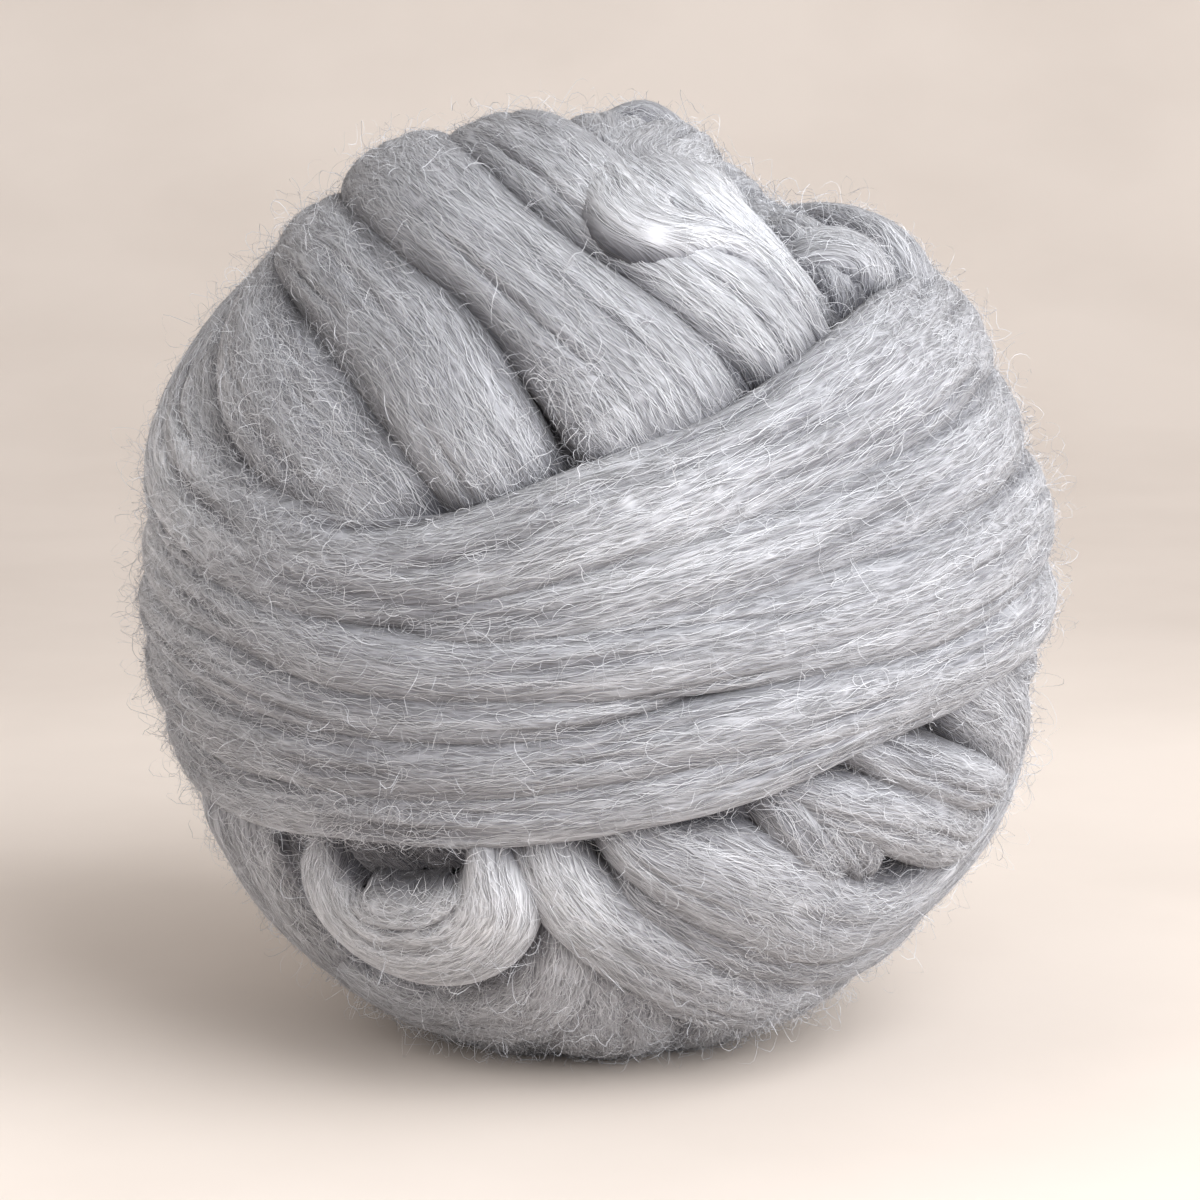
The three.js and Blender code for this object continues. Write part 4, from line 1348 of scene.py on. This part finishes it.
@dataclass(frozen=True)
class FibreLines:
    """One layer of the pattern of fibres that lie beside and across each other.

    Attributes:
        long: How far a fibre's line runs before it meets another, in metres.
        apart: Metres between lines.
        sway: How far the lines wander across the strand.
        sway_way: Over which length they do.
        sharp: How thin the lines are.
        offset: What sets this layer apart from the others.
    """

    long: float
    apart: float
    sway: float
    sway_way: float
    sharp: float
    offset: float

    def draw(self, bench: Bench, combed: bpy.types.NodeSocket,
             rubbed: bpy.types.NodeSocket) -> bpy.types.NodeSocket:
        """Draw the lines: 1 less the sharpness times the distance of long thin noise from its middle.

        Args:
            bench: The group's tree.
            combed: The place on the unrolled strand.
            rubbed: How rubbed the wool is, which makes the lines sway more.

        Returns:
            A mask, 1 on a line and 0 between lines.
        """
        slow = 1 / self.sway_way
        swayed = bench.stretch(bench.shift(combed, (self.offset, 0, self.offset)), (slow, slow, slow * 2.2))
        drift = bench.math("SUBTRACT", bench.noise(swayed), 0.5)
        amount = bench.math("MULTIPLY_ADD", rubbed, 2.0 * self.sway, self.sway)
        aside = bench.node("CombineXYZ", {"Z": bench.math("MULTIPLY", drift, amount)}).outputs[0]
        moved = bench.node("VectorMath", {0: combed, 1: aside}, operation="ADD").outputs[0]
        thin = bench.stretch(moved, (1 / self.long, 1 / self.long, 1 / self.apart))
        lines = bench.noise(bench.shift(thin, (self.offset * 70, 0, 0)))
        far = bench.math("ABSOLUTE", bench.math("SUBTRACT", lines, 0.5))
        return bench.math("MULTIPLY_ADD", far, -self.sharp, 1.0, clamp=True)


LINES = (
    FibreLines(long=0.015, apart=0.00072, sway=0.0030, sway_way=0.024, sharp=6.5, offset=0.0),
    FibreLines(long=0.009, apart=0.00062, sway=0.0016, sway_way=0.007, sharp=6.0, offset=1.7),
    FibreLines(long=0.012, apart=0.00085, sway=0.0090, sway_way=0.026, sharp=8.0, offset=3.1),
)


def combed_group() -> bpy.types.NodeTree:
    """Make the pattern of combed wool: its fibres, and the finer streaks that they gather in.

    Returns:
        A node group with inputs Combed and Rubbed, and outputs Fibres and Streaks.
    """
    tree = bpy.data.node_groups.new("Combed wool", "ShaderNodeTree")
    socket(tree, "Combed", "Vector")
    socket(tree, "Rubbed", "Float")
    socket(tree, "Fibres", "Float", "OUTPUT")
    socket(tree, "Streaks", "Float", "OUTPUT")
    bench = Bench(tree)
    given, result = tree.nodes.new("NodeGroupInput"), tree.nodes.new("NodeGroupOutput")
    combed, rubbed = given.outputs["Combed"], given.outputs["Rubbed"]
    first, second, third = (lines.draw(bench, combed, rubbed) for lines in LINES)
    lower = bench.math("MAXIMUM", bench.math("MULTIPLY", second, 0.8), bench.math("MULTIPLY", third, 0.9))
    tree.links.new(bench.math("MAXIMUM", first, lower), result.inputs["Fibres"])
    fine = bench.noise(bench.stretch(combed, (1 / 0.05, 1 / 0.05, 1 / 0.0020)), 1.0)
    tree.links.new(bench.remap(fine, 0.34, 0.66), result.inputs["Streaks"])
    return tree


@dataclass(frozen=True)
class WoolFinish:
    """Light grey combed wool.

    Attributes:
        gap: The colour between the fibres, darkened as painted shade in the gaps.
        dim: The colour of the fibres in the darker streaks.
        bright: And in the lighter ones.
        folded: What is left of the colour under the fullest painted shade, deep in a fold or a crease.
        least: How light the darkest streak of an untoned strand is.
        by_streaks: How much lighter the fine streaks make it.
        by_tone: And the strand's tone, with its painted light and shade by place.
        shown_by_tone: How much of the fibres' colour the tone shows, and the pattern the rest.
        relief: How high the fibres stand, in metres.
    """

    gap: tuple[float, float, float, float] = (0.20, 0.203, 0.23, 1)
    dim: tuple[float, float, float, float] = (0.33, 0.34, 0.38, 1)
    bright: tuple[float, float, float, float] = (0.78, 0.80, 0.85, 1)
    folded: tuple[float, float, float, float] = (0.20, 0.20, 0.22, 1)
    least: float = 0.085
    by_streaks: float = 0.18
    by_tone: float = 0.65
    shown_by_tone: float = 0.25
    relief: float = 0.0004

    def material(self) -> bpy.types.Material:
        """Make the wool's material once.

        Returns:
            The material, the same one each time.
        """
        made = bpy.data.materials.get("combed_wool")
        if made:
            return made
        made = bpy.data.materials.new("combed_wool")
        made.use_nodes = True
        bench = Bench(made.node_tree)
        combed = bench.node("Attribute", attribute_name="combed").outputs["Vector"]
        rubbed, tone, sunk = (bench.node("Attribute", attribute_name=name).outputs["Fac"]
                              for name in ("fuzz", "tone", "sunk"))
        wool = bench.node("Group", node_tree=combed_group())
        made.node_tree.links.new(combed, wool.inputs["Combed"])
        made.node_tree.links.new(rubbed, wool.inputs["Rubbed"])
        streaks = bench.math("MULTIPLY_ADD", wool.outputs["Streaks"], self.by_streaks, self.least)
        # The tone holds painted light and shade by place
        light = bench.math("MULTIPLY_ADD", tone, self.by_tone, streaks)
        fibre = bench.blend(light, self.dim, self.bright)
        lines = bench.math("MULTIPLY", wool.outputs["Fibres"], 1 - self.shown_by_tone)
        shown = bench.math("MULTIPLY_ADD", tone, self.shown_by_tone, lines)
        # Between the fibre lines the gap colour shows: painted shade in the gaps
        colour = bench.blend(shown, self.gap, fibre)
        # Painted shade: towards the folded colour by the sunk share, in folds, at edges, in creases and on
        # the core
        colour = bench.blend(sunk, colour, bench.blend(1.0, colour, self.folded, "MULTIPLY"))
        bump = bench.node("Bump", {"Height": wool.outputs["Fibres"], "Distance": self.relief,
                                   "Strength": 1.0})
        principled = bench.node("BsdfPrincipled", {
            "Base Color": colour, "Normal": bump.outputs[0], "Roughness": 0.85, "Specular IOR Level": 0.25,
            "Sheen Weight": 0.25, "Sheen Roughness": 0.5})
        out = bench.node("OutputMaterial")
        made.node_tree.links.new(principled.outputs[0], out.inputs["Surface"])
        return made


@dataclass(frozen=True)
class FibreFinish:
    """Single fibres of the same wool, each a little lighter or darker than the next.

    Attributes:
        name: The material's name.
        dark: The colour of a fibre in the deepest shade.
        light: And of the lightest one.
    """

    name: str = "single_fibre"
    dark: tuple[float, float, float, float] = (0.13, 0.133, 0.15, 1)
    light: tuple[float, float, float, float] = (0.78, 0.80, 0.85, 1)

    def material(self) -> bpy.types.Material:
        """Make the fibres' material once.

        Returns:
            The material, the same one each time.
        """
        made = bpy.data.materials.get(self.name)
        if made:
            return made
        made = bpy.data.materials.new(self.name)
        made.use_nodes = True
        bench = Bench(made.node_tree)
        shade = bench.node("Attribute", attribute_name="shade").outputs["Fac"]
        colour = bench.blend(shade, self.dark, self.light)
        matt = bench.node("BsdfDiffuse", {"Color": colour})
        out = bench.node("OutputMaterial")
        made.node_tree.links.new(matt.outputs[0], out.inputs["Surface"])
        return made


@dataclass(frozen=True)
class FloorFinish:
    """A pale warm matt surface with a faint cloudiness, a little darker farther behind the ball.

    Attributes:
        pale: The floor's usual colour.
        clouded: Its colour in the faint clouds.
        backdrop: What is left of both farther behind the ball.
        backdrop_ways: How far behind it they begin to darken, and where they are darkest.
        glow_near: How strongly the floor shines by itself beside the ball, as if lit from all round.
        near_ways: How far from its middle that begins, and where it is full.
        glow_far: How much it gains a few steps away.
        far_ways: Where that begins, and where it is full.
    """

    pale: tuple[float, float, float, float] = (0.67, 0.61, 0.563, 1)
    clouded: tuple[float, float, float, float] = (0.623, 0.563, 0.516, 1)
    backdrop: tuple[float, float, float, float] = (0.88, 0.875, 0.875, 1)
    backdrop_ways: tuple[float, float] = (0.38, 0.62)
    glow_near: float = 0.30
    near_ways: tuple[float, float] = (0.05, 0.22)
    glow_far: float = 0.20
    far_ways: tuple[float, float] = (0.3, 2.2)

    def material(self) -> bpy.types.Material:
        """Make the floor's material.

        Returns:
            The material.
        """
        made = bpy.data.materials.new("pale_floor")
        made.use_nodes = True
        bench = Bench(made.node_tree)
        place = bench.node("TexCoord").outputs["Object"]
        clouds = bench.remap(bench.noise(bench.stretch(place, (5, 5, 5)), 4.0), 0.4, 0.7)
        colour = bench.blend(clouds, self.pale, self.clouded)
        behind = bench.remap(bench.node("SeparateXYZ", {0: place}).outputs["Y"], *self.backdrop_ways)
        colour = bench.blend(behind, colour, bench.blend(1.0, colour, self.backdrop, "MULTIPLY"))
        away = bench.node("VectorMath", {0: place}, operation="LENGTH").outputs["Value"]
        near = bench.remap(away, *self.near_ways, 0.0, self.glow_near)
        glow = bench.math("ADD", near, bench.remap(away, *self.far_ways, 0.0, self.glow_far))
        principled = bench.node("BsdfPrincipled", {
            "Base Color": colour, "Roughness": 0.9, "Emission Color": colour, "Emission Strength": glow})
        out = bench.node("OutputMaterial")
        made.node_tree.links.new(principled.outputs[0], out.inputs["Surface"])
        return made


@dataclass(frozen=True)
class SoftLight:
    """A square soft light that faces the ball.

    Attributes:
        name: What it is called.
        place: Where it hangs.
        size: How long its sides are.
        watts: How strong it is.
        colour: Its colour.
    """

    name: str
    place: tuple[float, float, float]
    size: float
    watts: float
    colour: tuple[float, float, float]

    def hang(self) -> None:
        """Put the light into the scene."""
        lamp = bpy.data.lights.new(self.name, "AREA")
        lamp.size, lamp.energy, lamp.color = self.size, self.watts, self.colour
        holder = bpy.data.objects.new(self.name, lamp)
        holder.location = self.place
        way = Vector(CENTRE) - Vector(self.place)
        holder.rotation_euler = way.to_track_quat("-Z", "Y").to_euler()
        bpy.context.scene.collection.objects.link(holder)


@dataclass
class Studio:
    """The pale floor that sweeps up to a backdrop, the soft lights, and the camera.

    Attributes:
        lamps: The lights: the main one at the upper right in front, and a weak one from the left.
        room: The colour of the light from all round.
        room_light: How strong that light is.
        beyond: The colour past the floor's edges.
        rise_from: How far behind the ball the floor starts to rise.
        rise_radius: The radius of its sweep.
        half_width: Half the floor's width.
        wall_top: How high the backdrop goes.
        camera_up: Degrees above level from which the camera looks.
        camera_away: Metres from the camera to the ball's centre.
        lens: The camera's focal length in millimetres, on a 36 mm wide picture.
        shift: How far the picture is moved, as shares of its width.
    """

    lamps: tuple[SoftLight, ...] = (
        SoftLight("key_light", (1.1, -0.95, 1.1), 1.8, 60, (1.0, 0.998, 0.998)),
        SoftLight("fill_light", (-1.3, -0.9, 0.95), 1.4, 10, (1.0, 0.97, 0.94)),
    )
    room: tuple[float, float, float, float] = (1.0, 0.915, 0.84, 1)
    room_light: float = 0.2
    beyond: tuple[float, float, float, float] = (0.73, 0.65, 0.59, 1)
    rise_from: float = 1.0
    rise_radius: float = 0.9
    half_width: float = 9.0
    wall_top: float = 3.0
    camera_up: float = 10.0
    camera_away: float = 1.2
    lens: float = 126.63
    shift: tuple[float, float] = (0.0017, -0.0067)

    def floor(self) -> bpy.types.Object:
        """Make the floor: a profile of flat, quarter circle and wall, carried straight to both sides.

        Returns:
            The floor's mesh object.
        """
        turn = np.linspace(0, math.pi / 2, 24)
        sweep_away = self.rise_from + self.rise_radius * np.sin(turn)
        sweep = np.stack([sweep_away, self.rise_radius * (1 - np.cos(turn))], axis=1)
        top = [self.rise_from + self.rise_radius, self.wall_top]
        profile = np.concatenate([[[-self.half_width, 0.0]], sweep, [top]])
        sides = np.array([-self.half_width, self.half_width])
        x = np.broadcast_to(sides[None], (len(profile), 2))
        yz = np.broadcast_to(profile[:, None], (len(profile), 2, 2))
        points = np.concatenate([x[..., None], yz], axis=2).reshape(-1, 3)
        row = np.arange(len(profile) - 1) * 2
        faces = np.stack([row, row + 1, row + 3, row + 2], axis=1)
        skein = Skein()
        skein.add(points, faces, np.zeros((faces.size, 2)))
        floor = skein.piece("studio_floor")
        floor.data.materials.append(FloorFinish().material())
        return floor

    def light(self) -> None:
        """Hang the lights, and light the room from all round, with a plain colour past the floor."""
        for lamp in self.lamps:
            lamp.hang()
        world = bpy.data.worlds.new("soft_room")
        world.use_nodes = True
        bench = Bench(world.node_tree)
        room = bench.node("Background", {"Color": self.room, "Strength": self.room_light})
        seen = bench.node("Background", {"Color": self.beyond, "Strength": 1.0})
        eye = bench.node("LightPath").outputs["Is Camera Ray"]
        mixed = bench.node("MixShader", {0: eye, 1: room.outputs[0], 2: seen.outputs[0]})
        bench.node("OutputWorld", {"Surface": mixed.outputs[0]})
        bpy.context.scene.world = world

    def camera(self) -> bpy.types.Object:
        """Set up the camera on a line to the ball's centre, as the photograph was taken.

        Returns:
            The camera.
        """
        lens = bpy.data.cameras.new("photo_camera")
        lens.lens, lens.sensor_width, lens.sensor_fit = self.lens, 36.0, "HORIZONTAL"
        lens.shift_x, lens.shift_y = self.shift
        lens.clip_start, lens.clip_end = 0.05, 20
        camera = bpy.data.objects.new("photo_camera", lens)
        up = math.radians(self.camera_up)
        away = Vector((0, -math.cos(up), math.sin(up))) * self.camera_away
        camera.location = Vector(CENTRE) + away
        camera.rotation_euler = (math.pi / 2 - up, 0, 0)
        bpy.context.scene.collection.objects.link(camera)
        bpy.context.scene.camera = camera
        return camera

    def build(self) -> None:
        """Set up the floor, the lights and the camera."""
        self.floor()
        self.light()
        self.camera()
        bpy.context.scene.view_settings.view_transform = "Standard"


LAYERS = (
    WoundLayer("belt_strands", BELT_TURNS, Folds(deep=0.0015, narrow=0.0008, wide=0.0026), 100),
    WoundLayer("upper_strands", UPPER_TURNS, Folds(6, deep=0.0015, narrow=0.0008, wide=0.0026), 200),
    WoundLayer("lower_strands", LOWER_TURNS, Folds(6, deep=0.0016, narrow=0.0008, wide=0.0026), 300),
    WoundLayer("back_strands", FANS, Folds(6, deep=0.0020, wide=0.0036), 400, spacing=1.35),
)
COMBED = (
    CombedFibres("belt_fibres", 500, density=72000),
    CombedFibres("upper_fibres", 501, density=125000),
    CombedFibres("lower_fibres", 502, density=110000),
    CombedFibres("back_fibres", 503, density=66000),
)
LOOSE = (
    LooseFibres("crease_curls", 600, count=11200, places=8, step=0.0013, thick=(0.00012, 0.0002),
                curl=(200, 700), arch=(0.0002, 0.0016), facing=Facing.FACE_OUT, creased=9.0),
    LooseFibres("loose_fuzz", 700, count=4600, places=11, step=0.0020, thick=(0.00008, 0.00015),
                curl=(60, 380), arch=(0.0010, 0.0130), facing=Facing.ANY_WAY, creased=0.3),
    LooseFibres("short_fuzz", 800, count=12500, places=5, step=0.0015, thick=(0.00008, 0.00014),
                curl=(60, 380), arch=(0.0008, 0.0070), facing=Facing.ANY_WAY, creased=0.3),
)


def main() -> None:
    """Build the studio and the ball, and report each piece."""
    logging.basicConfig(level=logging.INFO, format="%(message)s")
    Studio().build()
    wool, fibre = WoolFinish(), FibreFinish()
    laid = [layer.lay() for layer in LAYERS]
    grids = [grid for of_layer in laid for grid in of_layer]
    reach = ReachMap(grids)
    for grid in grids:
        grid.settle(reach)
    for layer, of_layer in zip(LAYERS, laid):
        layer.dress(layer.build(of_layer, reach), wool)
    core = WoundCore()
    core.dress(core.build(), wool)
    for combed, of_layer in zip(COMBED, laid):
        combed.dress(combed.build(of_layer, reach), fibre)
    for loose in LOOSE:
        loose.dress(loose.build(reach), fibre)


if __name__ == "__main__":
    main()
